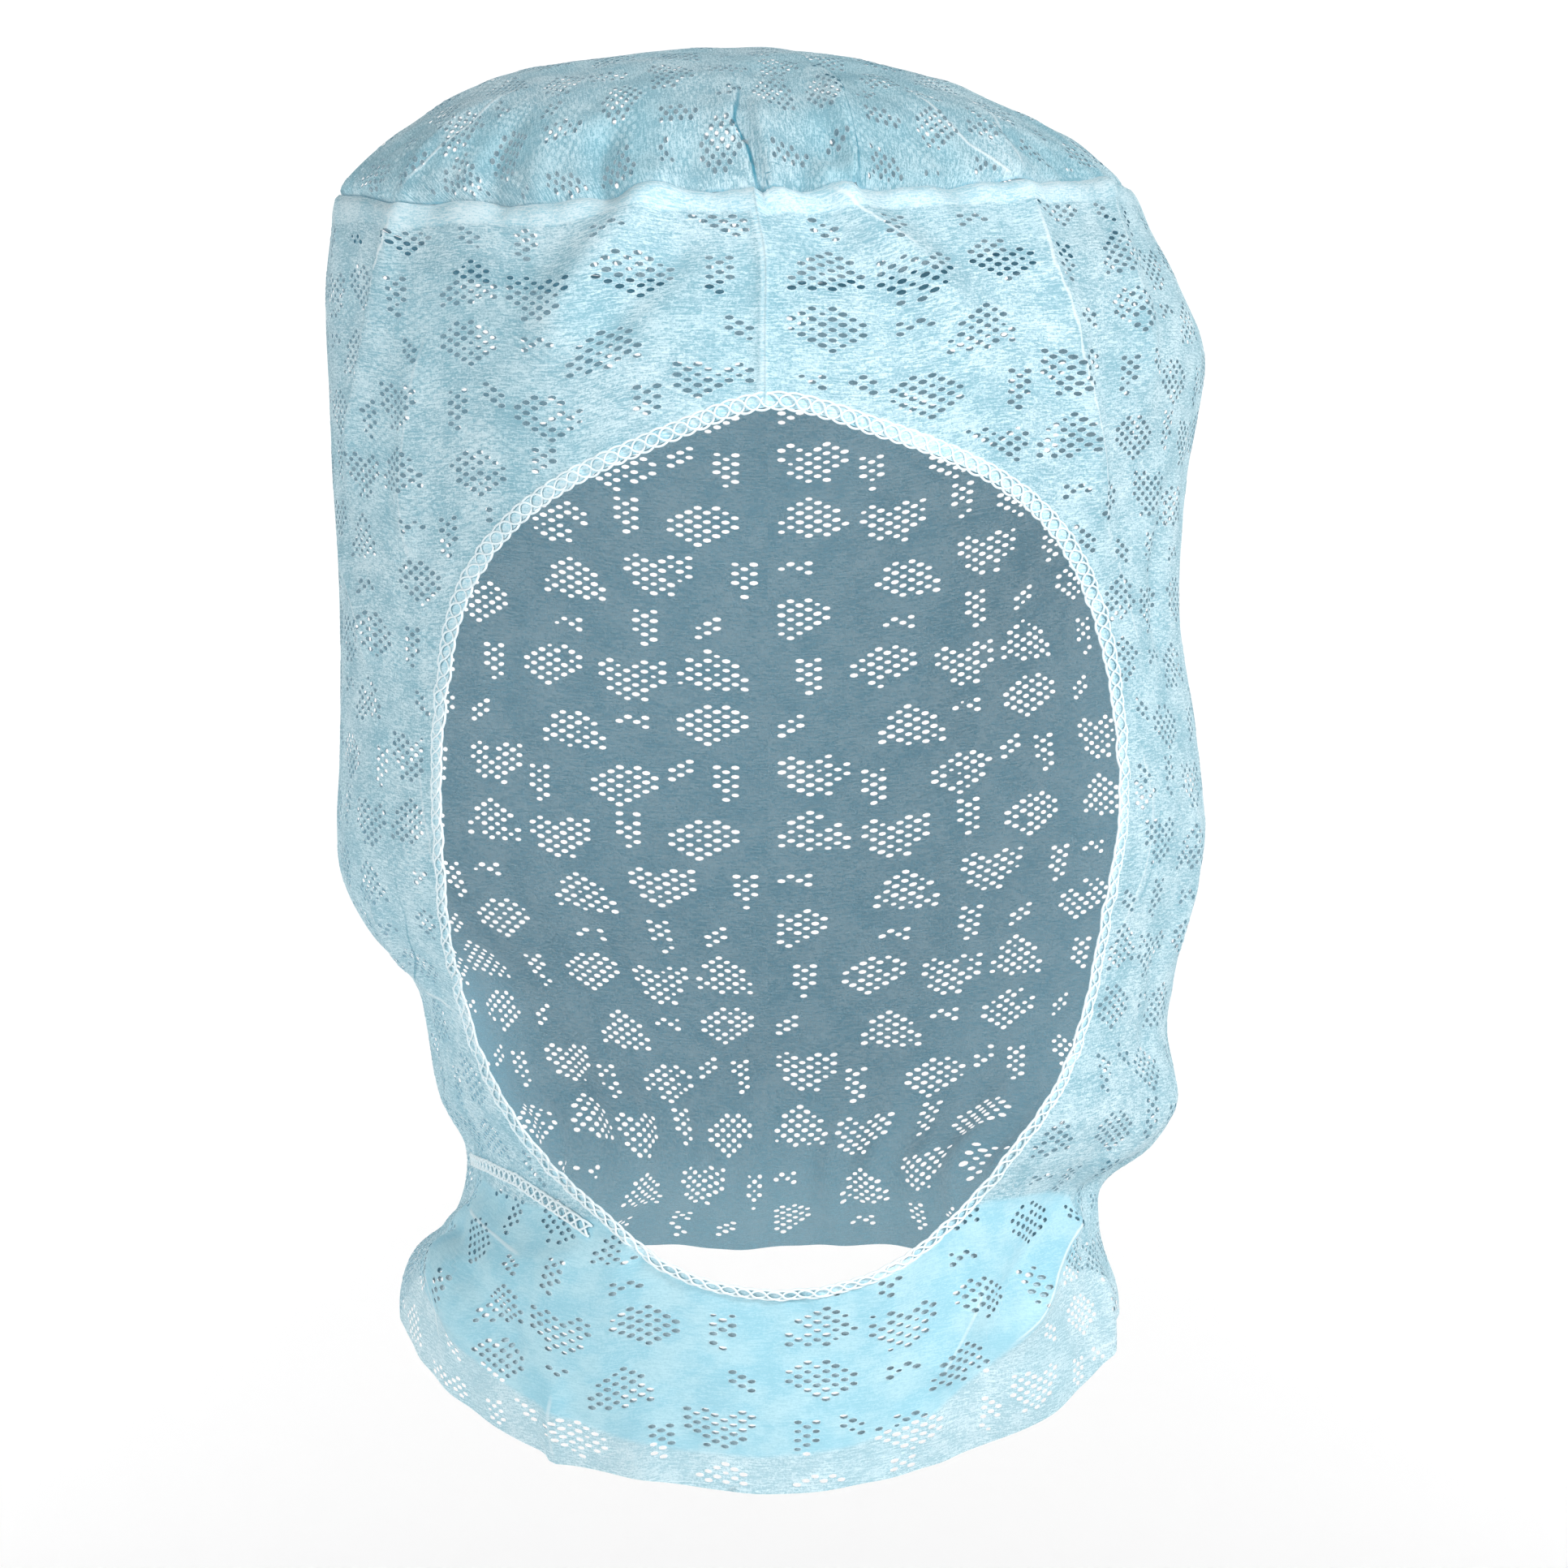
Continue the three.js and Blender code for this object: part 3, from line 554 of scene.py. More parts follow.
def openApertures(sheet, cellU, cellV, isHole):
    # turns each such cell into a ring round an oval hole
    cut, rimMark = apertureCut, sheet.verts.layers.float.new("rim")
    sheet.faces.ensure_lookup_table()
    cells = [sheet.faces[i] for i in np.flatnonzero(isHole)]
    middles = [face.calc_center_median() for face in cells]
    bmesh.ops.inset_individual(sheet, faces=cells, thickness=0.12, depth=0)
    bmesh.ops.bisect_edges(sheet, edges=list({edge for face in cells for edge in face.edges}), cuts=1)
    sizes = np.clip(draw.normal(cut["size"], cut["spread"], len(cells)), cut["least"], cut["most"])
    sizes[draw.random(len(cells)) < cut["small"]] *= cut["smallSize"]
    tilts = draw.normal(0, cut["tilt"], len(cells))
    for face, middle, size, tilt in zip(cells, middles, sizes, tilts):
        for vert in face.verts:
            angle = math.atan2((vert.co.y - middle.y) / cellV, (vert.co.x - middle.x) / cellU)
            along = cut["long"] * cellU * size * math.cos(angle)
            over = cut["tall"] * cellV * size * math.sin(angle)
            vert.co.x, vert.co.y = middle.x + along - tilt * over, middle.y + over + tilt * along
            vert[rimMark] = 1
    bmesh.ops.delete(sheet, geom=cells, context="FACES")


def latticeOf(sheet, cellU, cellV):
    # column and half row of every cell, counted from the centre front, and the flat place of its middle
    middles = np.array([face.calc_center_median()[:2] for face in sheet.faces]) * (1, -1)
    column, row = np.floor(middles[:, 0] / cellU).astype(int), np.floor(middles[:, 1] / cellV).astype(int)
    return column, row, np.stack([(column + 0.5) * cellU, (row + 0.5) * cellV], 1)


def waves(flat, count, longest, shortest, seed):
    # a sum of plane waves, as a slack cloth ripples; lengths in mm, and each sum draws from its own seed
    pick = np.random.default_rng(seed)
    total = np.zeros(len(flat))
    for _ in range(count):
        length = pick.uniform(shortest, longest)
        way, phase = pick.uniform(0, math.pi), pick.uniform(0, 2 * math.pi)
        total += np.cos((flat @ (math.cos(way), math.sin(way))) * 2 * math.pi / length + phase)
    return total / math.sqrt(count)


def puckerBeat(run):
    # the elastic of the edge puckers the cloth unevenly
    return sum(np.cos(run * 2 * math.pi / length + length) for length in (6.1, 7.9, 10.4))


def meshFrom(sheet, name):
    mesh = bpy.data.meshes.new(name)
    sheet.to_mesh(mesh)
    sheet.free()
    return mesh


def smoothShade(mesh):
    mesh.polygons.foreach_set("use_smooth", np.ones(len(mesh.polygons), bool))


def vertexValues(mesh, name):
    values = np.empty(len(mesh.vertices), np.float32)
    mesh.attributes[name].data.foreach_get("value", values)
    return values


uvSpan = 600  # mm of the flat cut to one unit of its UV map


def finishMesh(mesh, flat, points, marks):
    # keeps the flat cut as the UV map, about its middle, and moves the mesh onto the form
    corner = np.empty(len(mesh.loops), int)
    mesh.loops.foreach_get("vertex_index", corner)
    uvMap = mesh.uv_layers.new(name="flatCut")
    uvMap.data.foreach_set("uv", (flat[corner] * (1, -1) / uvSpan + 0.5).ravel())
    for name, values in marks.items():
        layer = mesh.attributes.new(name, "FLOAT", "POINT")
        layer.data.foreach_set("value", np.asarray(values, np.float32))
    mesh.vertices.foreach_set("co", (points * mm).ravel())
    smoothShade(mesh)
    mesh.update()


def flatArea(faces):
    return sum(face.calc_area() for face in faces) * mm * mm


def plainOf(mesh):
    # u, v of every vertex of a flat mesh
    flat = np.empty(len(mesh.vertices) * 3)
    mesh.vertices.foreach_get("co", flat)
    return flat.reshape(-1, 3)[:, :2] * (1, -1)


def insideOf(flat, outline):
    # signed distance inside a closed outline
    loop, crossings = np.vstack([outline, outline[:1]]), np.zeros(len(flat), int)
    for a, b in zip(loop, loop[1:]):
        spans = (a[1] > flat[:, 1]) != (b[1] > flat[:, 1])
        height = b[1] - a[1] if abs(b[1] - a[1]) > 1e-9 else 1e-9
        crossings += spans & (flat[:, 0] < a[0] + (flat[:, 1] - a[1]) * (b[0] - a[0]) / height)
    return nearestOn(flat, loop)[0] * np.where(crossings % 2 == 1, 1, -1)


def creaseMarks(points, normals, creases):
    # for pressed creases: the signed distance to the nearest, and how strong it is there
    nearest, mark = np.full(len(points), 20.0), np.zeros(len(points))
    for turnsAndHeights, strength in creases:
        path = foldPath(turnsAndHeights)
        close = closeTo(points, path, 8)
        away, side, along = awayFrom(points[close], path, normals[close])
        start = 0.14 if strength > 0 else 0.6  # a tuck's dark line, painted shade, sets in slowly
        fade = strength * ease(along, -0.01, start) * ease(1 - along, -0.01, 0.14)
        better = away < np.abs(nearest[close])
        nearest[close[better]] = (away * side)[better]
        mark[close[better]] = fade[better]
    return nearest, mark


# Pressed creases, where the hood was folded flat in its pack: path of turn and height, and strength;
# a positive strength lays a painted highlight along the crest, a negative one painted shade, the dark inner line of
# a tuck, which is partly its doubled cloth.
wrapCreases = [
    ([(-51.5, -36.5), (-53.5, -44), (-56.5, -51.5), (-59.5, -59.5), (-63, -68)], 1.0),
    ([(-46.5, -60), (-50, -75.5), (-53, -91), (-52.5, -104)], 0.5),
    ([(40, -34.5), (38.5, -48), (41.5, -65.5), (47.5, -81.5), (53.5, -104)], 0.9),
    ([(62, -31.5), (57, -48.5), (56, -62)], 0.4),
    ([(-73.5, -104.5), (-68, -112), (-63, -121)], 0.6),
    ([(-54.5, -90), (-53.5, -99), (-53, -106)], 0.5),
    ([(-56.5, -158), (-58, -166.5), (-59, -173), (-64, -180.5), (-74, -187)], -0.6),
    ([(-51.5, -140), (-50, -150.5), (-48, -161.5), (-47.5, -176)], 0.5),
    ([(56.5, -137), (58.5, -150), (57.5, -163), (55, -174), (51.5, -188)], 0.6),
    ([(58, -141), (60.5, -152), (59.5, -163), (57, -172)], -0.3),
    ([(51.5, -96), (57, -108), (61, -121)], 0.5),
    ([(72, -140), (76, -160), (78, -177), (74, -196)], 0.35),
    ([(-71.5, -237.5), (-62, -245), (-60, -257)], 0.7),
    ([(70, -229), (59, -234.5), (51, -242), (44.5, -250), (38.5, -256)], 1.0),
    ([(35, -243), (29.5, -253.5), (25.5, -261)], 0.5),
    ([(72, -246), (69.5, -257), (56, -262)], 0.6),
    ([(-32.5, -264.5), (-34.5, -270), (-36.5, -277)], 0.5),
    ([(9, -35.5), (13.5, -41), (19, -46.5)], 0.8),
    ([(69, -238), (72, -247), (73, -257)], -0.4),
    ([(-77, -224), (-74, -232), (-70, -240)], -0.35),
    ([(-80, -182), (-71, -187.5), (-61, -191.5)], 0.8),
    ([(-67, -231), (-58, -234), (-49, -236.5), (-43, -238)], 0.7),
    ([(-90, -196), (-80, -203), (-70, -212), (-64, -219)], 0.4),
]
wrapCut = dict(
    edgeTuck=0.5,  # how far inside the overlocked edge's inner line the cloth is cut
    holeClear=5.0,  # clear of apertures along the face opening
    hemClear=1.6,  # and along the hem
    lowRow=200,  # from this half row down the hem's clearance holds
    seamRows=5,  # half rows left whole along the crown seam
    frontRows=60,  # and half rows in which the centre front seam keeps its two columns whole
    allowanceDeep=5.5,
    stripLeft=0.9,  # the doubled cloth to the left and right of the centre front seam
    stripRight=0.25,
    stripFoot=-76,
    frontPart=0.53,  # share of the round that is the front mesh
)
wrapRelief = dict(
    ripple=0.20,  # finer than the folds, all over
    hang=0.34,  # upright puckers that hang from the crown seam
    hangDeep=13,
    slackBack=0.35,  # looser at the back and sides
    slackLow=0.25,  # and at the neck
    nape=0.9,  # upright folds where the neck is gathered
    napeEvery=15,
    napeHeight=-226,
    napeDeep=16,
    elastic=0.16,  # puckers along the face opening
    elasticDeep=6,
    drawnIn=0.7,  # at the crown seam
    roll=0.5,  # over the allowance, at the front
    rollSide=0.12,
    rollPucker=0.26,
    frontSeam=0.5,  # the centre front seam stands up
    frontAllowance=0.22,  # with its allowance laid to one side
)


def wrapAway(flat):
    # how far inside the cut a flat point is: clear of the face opening and above the hem
    turn, height = wrapSpot(flat)
    away, _ = nearEdge(formPoint(turn, levelAt(height)))
    return np.minimum(away - wrapCut["edgeTuck"], height - hemHeight(turn))


def bell(value, wide):
    return np.exp(-((value / wide) ** 2))


def wrapProud(flat, turn, height, edgeAway, edgeRun):
    # relief finer than the folds
    relief, across, down = wrapRelief, flat[:, 0], flat[:, 1]
    toBack, aside = wrapHalf - np.abs(across), np.abs(turn)
    proud = relief["ripple"] * waves(flat * (0.7, 1), 12, 44, 15, 5)
    proud += relief["hang"] * np.exp(-down / relief["hangDeep"]) * waves(flat * (1, 0.12), 9, 23, 9, 7)
    slack = ease(aside, 60, 110) * relief["slackBack"] + ease(-height, 205, 235) * relief["slackLow"]
    proud += slack * waves(flat * (1, 0.5), 10, 34, 12, 8)
    gather = ease(aside, 70, 105) * bell(height - relief["napeHeight"], relief["napeDeep"]) * relief["nape"]
    wander = 1.4 * waves(flat * (1, 0.15), 6, 90, 40, 3)
    proud += gather * np.cos(across * 2 * math.pi / relief["napeEvery"] + wander)
    proud *= ease(toBack, 0, 22)  # the two ends meet at the centre back
    pucker = bell(np.maximum(edgeAway, 0), relief["elasticDeep"]) * ease(edgeAway, -1, 3)
    proud += relief["elastic"] * pucker * puckerBeat(edgeRun)
    proud -= relief["drawnIn"] * np.exp(-down / 0.5)
    roll = relief["roll"] - (relief["roll"] - relief["rollSide"]) * ease(aside, 40, 70)
    proud += roll * bell(down - 2.7, 2.3)
    pucker = ease(toBack, 0, 12) * bell(down - 1.8, 3)
    proud += relief["rollPucker"] * pucker * waves(flat * (1, 0), 10, 14, 4.5, 6)
    above = ease(-height, 20, 30) * (1 - ease(-height, 76, 79)) * (aside < 20)
    proud += above * relief["frontSeam"] * np.exp(-np.abs(across) / 0.35)
    proud += above * relief["frontAllowance"] * ease(across, -2.1, -1.5) * (1 - ease(across, -0.1, 0.3))
    return proud


def turnedDepth(flat, turn, height, edgeAway):
    # how far inside a doubled edge a place is: the crown's allowance, the front seam's, or the overlocked edge
    ragged = 0.3 * waves(flat * (1, 0), 5, 34, 9, 21) + 0.28 * waves(flat, 9, 6, 1.6, 22)
    band = wrapCut["allowanceDeep"] + ragged - flat[:, 1]
    band = np.minimum(band, 0.4 - 0.5 * ease(np.abs(turn), 45, 60))  # the band is bluer round the sides
    strip = np.minimum(flat[:, 0] + wrapCut["stripLeft"], wrapCut["stripRight"] - flat[:, 0])
    strip = np.minimum(strip, height - wrapCut["stripFoot"])
    return np.maximum(np.maximum(band, strip), edgeWidth(height) - edgeAway)


def placeWrap(mesh, behind=0.0):
    # lays a flat mesh on the form, or behind millimetres inside it
    flat = plainOf(mesh)
    turn, height = wrapSpot(flat)
    bare, normals = onForm(turn, levelAt(height))
    edgeAway, edgeRun = nearEdge(bare)
    proud = foldRise(bare, normals) + wrapProud(flat, turn, height, edgeAway, edgeRun) - behind
    if "rim" in mesh.attributes:
        proud += vertexValues(mesh, "rim") * apertureCut["raised"]
    side, mark = creaseMarks(bare, normals, wrapCreases)
    marks = {
        "plyDepth": np.full(len(flat), -5.0) if behind else insideOf(flat, plyOutline),
        "turnedDepth": turnedDepth(flat, turn, height, edgeAway),
        "creaseSide": side,
        "creaseMark": mark,
    }
    finishMesh(mesh, flat, bare + normals * proud[:, None], marks)
    return mesh


def joinBack(mesh):
    # closes the wrap at the centre back
    sheet = bmesh.new()
    sheet.from_mesh(mesh)
    ends = [vert for vert in sheet.verts if vert.co.y > 0.05 and abs(vert.co.x) < 0.004]
    bmesh.ops.remove_doubles(sheet, verts=ends, dist=0.00005)
    sheet.to_mesh(mesh)
    sheet.free()


def halves(mesh, names):
    # the wrap is one cloth, kept as a front and a back mesh whose shading runs through
    normals = np.empty(len(mesh.vertices) * 3, np.float32)
    mesh.vertex_normals.foreach_get("vector", normals)
    mesh.attributes.new("wholeNormal", "FLOAT_VECTOR", "POINT").data.foreach_set("vector", normals)
    made = []
    for name, isFront in zip(names, (True, False)):
        part = bmesh.new()
        part.from_mesh(mesh)
        gone = [face for face in part.faces if (face.calc_center_median().y < 0) != isFront]
        bmesh.ops.delete(part, geom=gone, context="FACES")
        half = meshFrom(part, name)
        kept = np.empty(len(half.vertices) * 3, np.float32)
        half.attributes["wholeNormal"].data.foreach_get("vector", kept)
        half.attributes.remove(half.attributes["wholeNormal"])
        half.normals_split_custom_set_from_vertices(kept.reshape(-1, 3))
        made.append(half)
    return made


# turn, top and bottom of the second ply at the throat, whose top runs in under the overlocked edge
throatPlyRows = [
    (-76, -224.5, -240), (-62, -226, -249), (-50, -228, -258), (-38, -229.5, -266), (-26, -231, -271.5),
    (-13, -240, -275.5), (0, -244, -276.5), (13, -242, -274), (26, -235, -267.5), (38, -227, -257),
    (50, -226, -246), (62, -228, -239),
]
plyTurns, plyTops, plyBottoms = np.array(throatPlyRows, float).T
plyOutline = np.vstack([wrapFlat(plyTurns, plyBottoms), wrapFlat(plyTurns[::-1], plyTops[::-1])])
plyOutline = evenPath(plyOutline, 90)

# the wrap panel
wrapSheet = flatGrid(wrapColumns, wrapRows, cellWide, cellTall, -wrapHalf, 0)
trimSheet(wrapSheet, wrapAway)
frontWide = wrapHalf * wrapCut["frontPart"]
frontArea = flatArea([face for face in wrapSheet.faces if abs(face.calc_center_median().x) < frontWide])
backArea = flatArea(wrapSheet.faces) - frontArea
column, row, middles = latticeOf(wrapSheet, cellWide, cellTall)
clear = np.where(row > wrapCut["lowRow"], wrapCut["hemClear"], wrapCut["holeClear"])
isHole = apertureGrid[(row + 20) % repeatTall, (column + 9) % repeatWide]
isHole &= (wrapAway(middles) > clear) & (row > wrapCut["seamRows"])
isHole &= np.abs(column + 0.5) < wrapColumns / 2 - 1
isHole &= (row > wrapCut["frontRows"]) | (column < -1) | (column > 0)
isHole &= draw.random(len(isHole)) > apertureCut["lost"]
openApertures(wrapSheet, cellWide, cellTall, isHole)
for across in (-1.7, -0.45, 0, 0.45):  # finer cells where the front seam stands up
    middleOf = {face: face.calc_center_median() for face in wrapSheet.faces}
    near = [face for face, middle in middleOf.items() if abs(middle.x) < 4 and middle.y > -48]
    edges, verts = ({part for face in near for part in getattr(face, kind)} for kind in ("edges", "verts"))
    geometry = near + list(edges) + list(verts)
    bmesh.ops.bisect_plane(wrapSheet, geom=geometry, plane_co=(across, 0, 0), plane_no=(1, 0, 0))
wrapMesh = placeWrap(meshFrom(wrapSheet, "wrap"))
joinBack(wrapMesh)
wrapFrontMesh, wrapBackMesh = halves(wrapMesh, ("wrapFront", "wrapBack"))
print("wrap", int(isHole.sum()), "apertures")

# the second ply at the throat
throatCut = dict(columns=100, rows=80, top=190, edgeTuck=0.3, outlineClear=2, holeClear=4, behind=0.7)
plyLeft = -throatCut["columns"] / 2 * cellWide
plySheet = flatGrid(throatCut["columns"], throatCut["rows"], cellWide, cellTall, plyLeft, throatCut["top"])
trimSheet(plySheet, lambda flat: np.minimum(insideOf(flat, plyOutline), wrapAway(flat) - throatCut["edgeTuck"]))
plyArea = flatArea(plySheet.faces)
column, row, middles = latticeOf(plySheet, cellWide, cellTall)
isHole = apertureGrid[(row + 3) % repeatTall, (column + 28) % repeatWide]
isHole &= insideOf(middles, plyOutline) > throatCut["outlineClear"]
isHole &= wrapAway(middles) > throatCut["holeClear"]
openApertures(plySheet, cellWide, cellTall, isHole)
plyMesh = placeWrap(meshFrom(plySheet, "throatPly"), throatCut["behind"])
print("throat ply", int(isHole.sum()), "apertures")

# the crown's seam allowance behind the wrap's top edge, and the strip behind the centre front seam
allowanceCut = dict(rows=6, rowTall=0.9, top=0.1, behind=0.8)
rows, rowTall = allowanceCut["rows"], allowanceCut["rowTall"]
allowanceSheet = flatGrid(wrapColumns, rows, cellWide, rowTall, -wrapHalf, allowanceCut["top"])
allowanceMesh = placeWrap(meshFrom(allowanceSheet, "crownAllowance"), allowanceCut["behind"])
joinBack(allowanceMesh)
stripCut = dict(columns=3, columnWide=0.7, rows=36, top=6.5, behind=0.9)
columns, columnWide = stripCut["columns"], stripCut["columnWide"]
stripSheet = flatGrid(columns, stripCut["rows"], columnWide, 1, -columns * columnWide, stripCut["top"])
stripMesh = placeWrap(meshFrom(stripSheet, "frontSeam"), stripCut["behind"])
print("allowance and front strip ready")

# the crown panel, whose lattice lies the other way
crownCreases = [
    ([(-43.5, -9.5), (-46, -15), (-47.5, -22), (-48.5, -27.5), (-51, -33)], 0.8),
    ([(35.5, -13), (34.5, -24), (37.5, -29.5), (40, -33)], 1.0),
    ([(56.5, -11), (43.5, -22), (40, -31)], 0.7),
    ([(-1.5, -9), (-0.5, -14), (-1.5, -20), (0, -26), (0.5, -36)], -1.0),
    ([(24, -1.5), (21, -4), (20, -7), (19, -12), (15.5, -20), (12.5, -36)], -1.0),
]
crownCut = dict(across=224, deep=112, seamClear=1.6)
crownRelief = dict(
    ripple=0.30,
    rippleBack=0.25,
    gather=0.6,  # gathered a little into its seam
    gatherDeep=14,
    drawnIn=1.3,
    seamLine=-0.55,  # the seam itself shows as a fine shaded line
)


def crownAway(flat):
    turn, level = crownSpot(flat)
    return np.interp(level, levelLine, heightOfLevel) - seamHeight(turn)


across, deep = crownCut["across"], crownCut["deep"]
crownSheet = flatGrid(across, deep, cellTall, cellWide, -across / 2 * cellTall, -deep / 2 * cellWide)
bmesh.ops.reverse_faces(crownSheet, faces=crownSheet.faces)
trimSheet(crownSheet, crownAway)
crownArea = flatArea(crownSheet.faces)
column, row, middles = latticeOf(crownSheet, cellTall, cellWide)
isHole = apertureGrid[(column + 31) % repeatTall, (row + 14) % repeatWide]
isHole &= crownAway(middles) > crownCut["seamClear"]
isHole &= draw.random(len(isHole)) > apertureCut["lost"]
openApertures(crownSheet, cellTall, cellWide, isHole)
crownMesh = meshFrom(crownSheet, "crown")
flat = plainOf(crownMesh)
turn, level = crownSpot(flat)
bare, normals = onForm(turn, level)
toSeam = np.maximum(crownAway(flat), 0)
proud = foldRise(bare, normals) + crownRelief["ripple"] * waves(flat, 12, 36, 13, 31)
proud += crownRelief["rippleBack"] * ease(bare[:, 1], 0, 40) * waves(flat, 8, 30, 14, 32)
gather = crownRelief["gather"] * bell(toSeam, crownRelief["gatherDeep"])
proud += gather * waves(np.stack([turn * 1.4, 0 * turn], 1), 8, 22, 7, 33)
proud += vertexValues(crownMesh, "rim") * apertureCut["raised"] - crownRelief["drawnIn"] * np.exp(-toSeam / 0.9)
side, mark = creaseMarks(bare, normals, crownCreases)
atSeam = toSeam < np.abs(side)
marks = {
    "plyDepth": np.full(len(flat), -5.0),
    "turnedDepth": 0.3 - toSeam,
    "creaseSide": np.where(atSeam, toSeam, side),
    "creaseMark": np.where(atSeam, crownRelief["seamLine"], mark),
}
finishMesh(crownMesh, flat, bare + normals * proud[:, None], marks)
print("crown", int(isHole.sum()), "apertures")

# the sewing threads of the overlocked edge; shares are of its width, out from its inner line
overlock = dict(
    stitch=2.9,
    perStitch=12,  # points along each
    thread=0.25,
    looperThread=0.21,
    inner=0.13,  # share at which the inner thread lies, drawn in at each stitch
    outer=0.88,  # and the outer one, pushed out
    outerPush=0.08,
    middle=0.49,  # the loops swing this far to each side of the middle
    swing=0.35,
    uneven=0.03,
    slip=0.11,  # mm, the whole edge wanders
    pucker=0.10,
)


def alongOpening(run):
    return np.stack([np.interp(run % edgeLength, edgeAlong, column) for column in openingLoop.T], 1)


def edgePoints(run, width, lift, reach=1.5):
    # points on the overlocked edge: run along it, width out from its inner line, lift off the cloth
    along = unit(alongOpening(run + reach) - alongOpening(run - reach))
    outward = np.stack([-along[:, 1], along[:, 0]], 1)
    seen = alongOpening(run) + outward * width[:, None]
    points, normals = onForm(turnAcross(*seen.T), levelAt(seen[:, 1]))
    proud = foldRise(points, normals) + overlock["pucker"] * puckerBeat(run) + lift
    return points + normals * proud[:, None]


def threadMesh(name, paths, radius, closed):
    # threads as one mesh, each a round cord along its path
    curve = bpy.data.curves.new(name, "CURVE")
    curve.dimensions = "3D"
    curve.bevel_depth, curve.bevel_resolution, curve.use_fill_caps = radius * mm, 1, True
    for path in paths:
        spline = curve.splines.new("POLY")
        spline.points.add(len(path) - 1)
        spline.points.foreach_set("co", np.hstack([path * mm, np.ones((len(path), 1))]).ravel())
        spline.use_cyclic_u = closed
    held = newObject(name, curve)
    bpy.context.view_layer.update()
    mesh = bpy.data.meshes.new_from_object(held.evaluated_get(bpy.context.evaluated_depsgraph_get()))
    bpy.data.objects.remove(held)
    bpy.data.curves.remove(curve)
    mesh.name = name
    smoothShade(mesh)
    return mesh


stitches = round(edgeLength / overlock["stitch"] / 2) * 2
run = np.linspace(0, edgeLength, stitches * overlock["perStitch"], endpoint=False)
phase = run / edgeLength * stitches * math.pi
wide, scallop = edgeWidth(np.interp(run, edgeAlong, edgeLoop[:, 2])), np.abs(np.sin(phase))
uneven, slip = (waves(np.stack([run, 0 * run], 1), *kind) for kind in ((8, 19, 5, 43), (10, 30, 5, 41)))
slip *= overlock["slip"]
innerLine = wide * (overlock["inner"] - overlock["inner"] * scallop)
outerLine = wide * (overlock["outer"] + overlock["outerPush"] * scallop)
threads = [
    edgePoints(run, innerLine + slip, 0.05 + 0.15 * scallop),
    edgePoints(run, outerLine + slip, 0.10 + 0.05 * scallop),
]
# the loops are broad ovals that cross between two stitches
beat = np.cos(phase + 0.2 * uneven)
swing = (overlock["swing"] + overlock["uneven"] * uneven) * np.sign(beat) * np.abs(beat) ** 0.7
loopers = [
    edgePoints(run, wide * (overlock["middle"] + sign * swing) + slip, 0.3 + 0.13 * sign * np.sin(phase))
    for sign in (1, -1)
]
edgeMesh = threadMesh("faceEdge", threads, overlock["thread"], True)
loopMesh = threadMesh("faceEdgeLoops", loopers, overlock["looperThread"], True)
print("overlocked edge", stitches, "stitches")

# the throat ply is caught by a short overlocked line at the right of the throat, zigzag between two threads
throatSeam = dict(
    path=[(-77, -221.5), (-65, -222), (-53, -223.8), (-44, -227), (-37, -229.8), (-31, -232.6)],
    wide=2.0,
    stitch=2.9,
    thread=0.25,
    steps=240,
    lift=0.35,
    scallop=0.12,
)
share = np.linspace(0, len(throatSeam["path"]) - 1, throatSeam["steps"])
lineTurn, lineHeight = (np.interp(share, range(len(values)), values) for values in zip(*throatSeam["path"]))


def throatPoints(across, lift):
    points, normals = onForm(lineTurn, levelAt(lineHeight + across))
    return points + normals * (foldRise(points, normals) + throatSeam["lift"] + lift)[:, None]


beat = runOf(formPoint(lineTurn, levelAt(lineHeight))) / throatSeam["stitch"] * math.pi
half, scallop = throatSeam["wide"] / 2, throatSeam["scallop"] * np.abs(np.sin(beat))
seamThreads = [
    throatPoints(half * np.cos(beat), 0.3),
    throatPoints(-half * np.cos(beat), 0.25),
    throatPoints(half + scallop, 0.15),
    throatPoints(-half - scallop, 0.15),
]
throatMesh = threadMesh("throatSeam", seamThreads, throatSeam["thread"], False)
print("throat seam ready")


def linear(code):
    parts = [int(code[i : i + 2], 16) / 255 for i in (1, 3, 5)]
    return [part / 12.92 if part <= 0.04045 else ((part + 0.055) / 1.055) ** 2.4 for part in parts] + [1]


def material(name):
    made = bpy.data.materials.new(name)
    made.use_nodes = True
    made.node_tree.nodes.clear()
    return made


def node(made, kind, settings, sockets):
    # adds a node: its settings, then a value for each socket or the output that feeds it; gives its outputs
    added = made.node_tree.nodes.new("ShaderNode" + kind)
    for key, value in settings.items():
        setattr(added, key, value)
    for key, value in sockets.items():
        if isinstance(value, bpy.types.NodeSocket):
            made.node_tree.links.new(value, added.inputs[key])
        else:
            added.inputs[key].default_value = value
    return added.outputs


# Spunlaced viscose nonwoven, hydroentangled and dyed pale blue: soft, dull, cloudy, with fibres that lie mostly
# round the head; thin places let light and what is behind show through, doubled places are bluer and denser.
clothLook = dict(
    thin="#98C4D2",
    dense="#DAEEF4",
    doubled="#9ED6E7",
    doubledDense="#ADDCE9",
    turned="#DCF0F6",
    turnedThin="#A6D6E4",
    # painted highlight: the pale tone laid on aperture rims and along crease crests
    paintedHighlight="#E8F5F9",
    # painted shade: the dark teal laid along tuck lines, crease valleys and the crown seam line
    deep="#3F93AB",
    inside="#9CBDC9",  # painted shade: the inner face is darkened as if in the hood's own shadow, which also lets the apertures show
    open="#E6F6FA",
    tinted="#6FBDD0",
    fibreLong=2.4,  # mm, how far a bundle of fibres runs before it fades
    fibreAcross=0.32,  # mm, drawn coarser than single fibres, which are too fine to show
    crossed=0.5,  # mm, fibres that lie across
    cloud=7.0,  # mm, patches of more and less fibre
    drift=26.0,  # mm, slow changes of tone where the cloth is more or less drawn
)


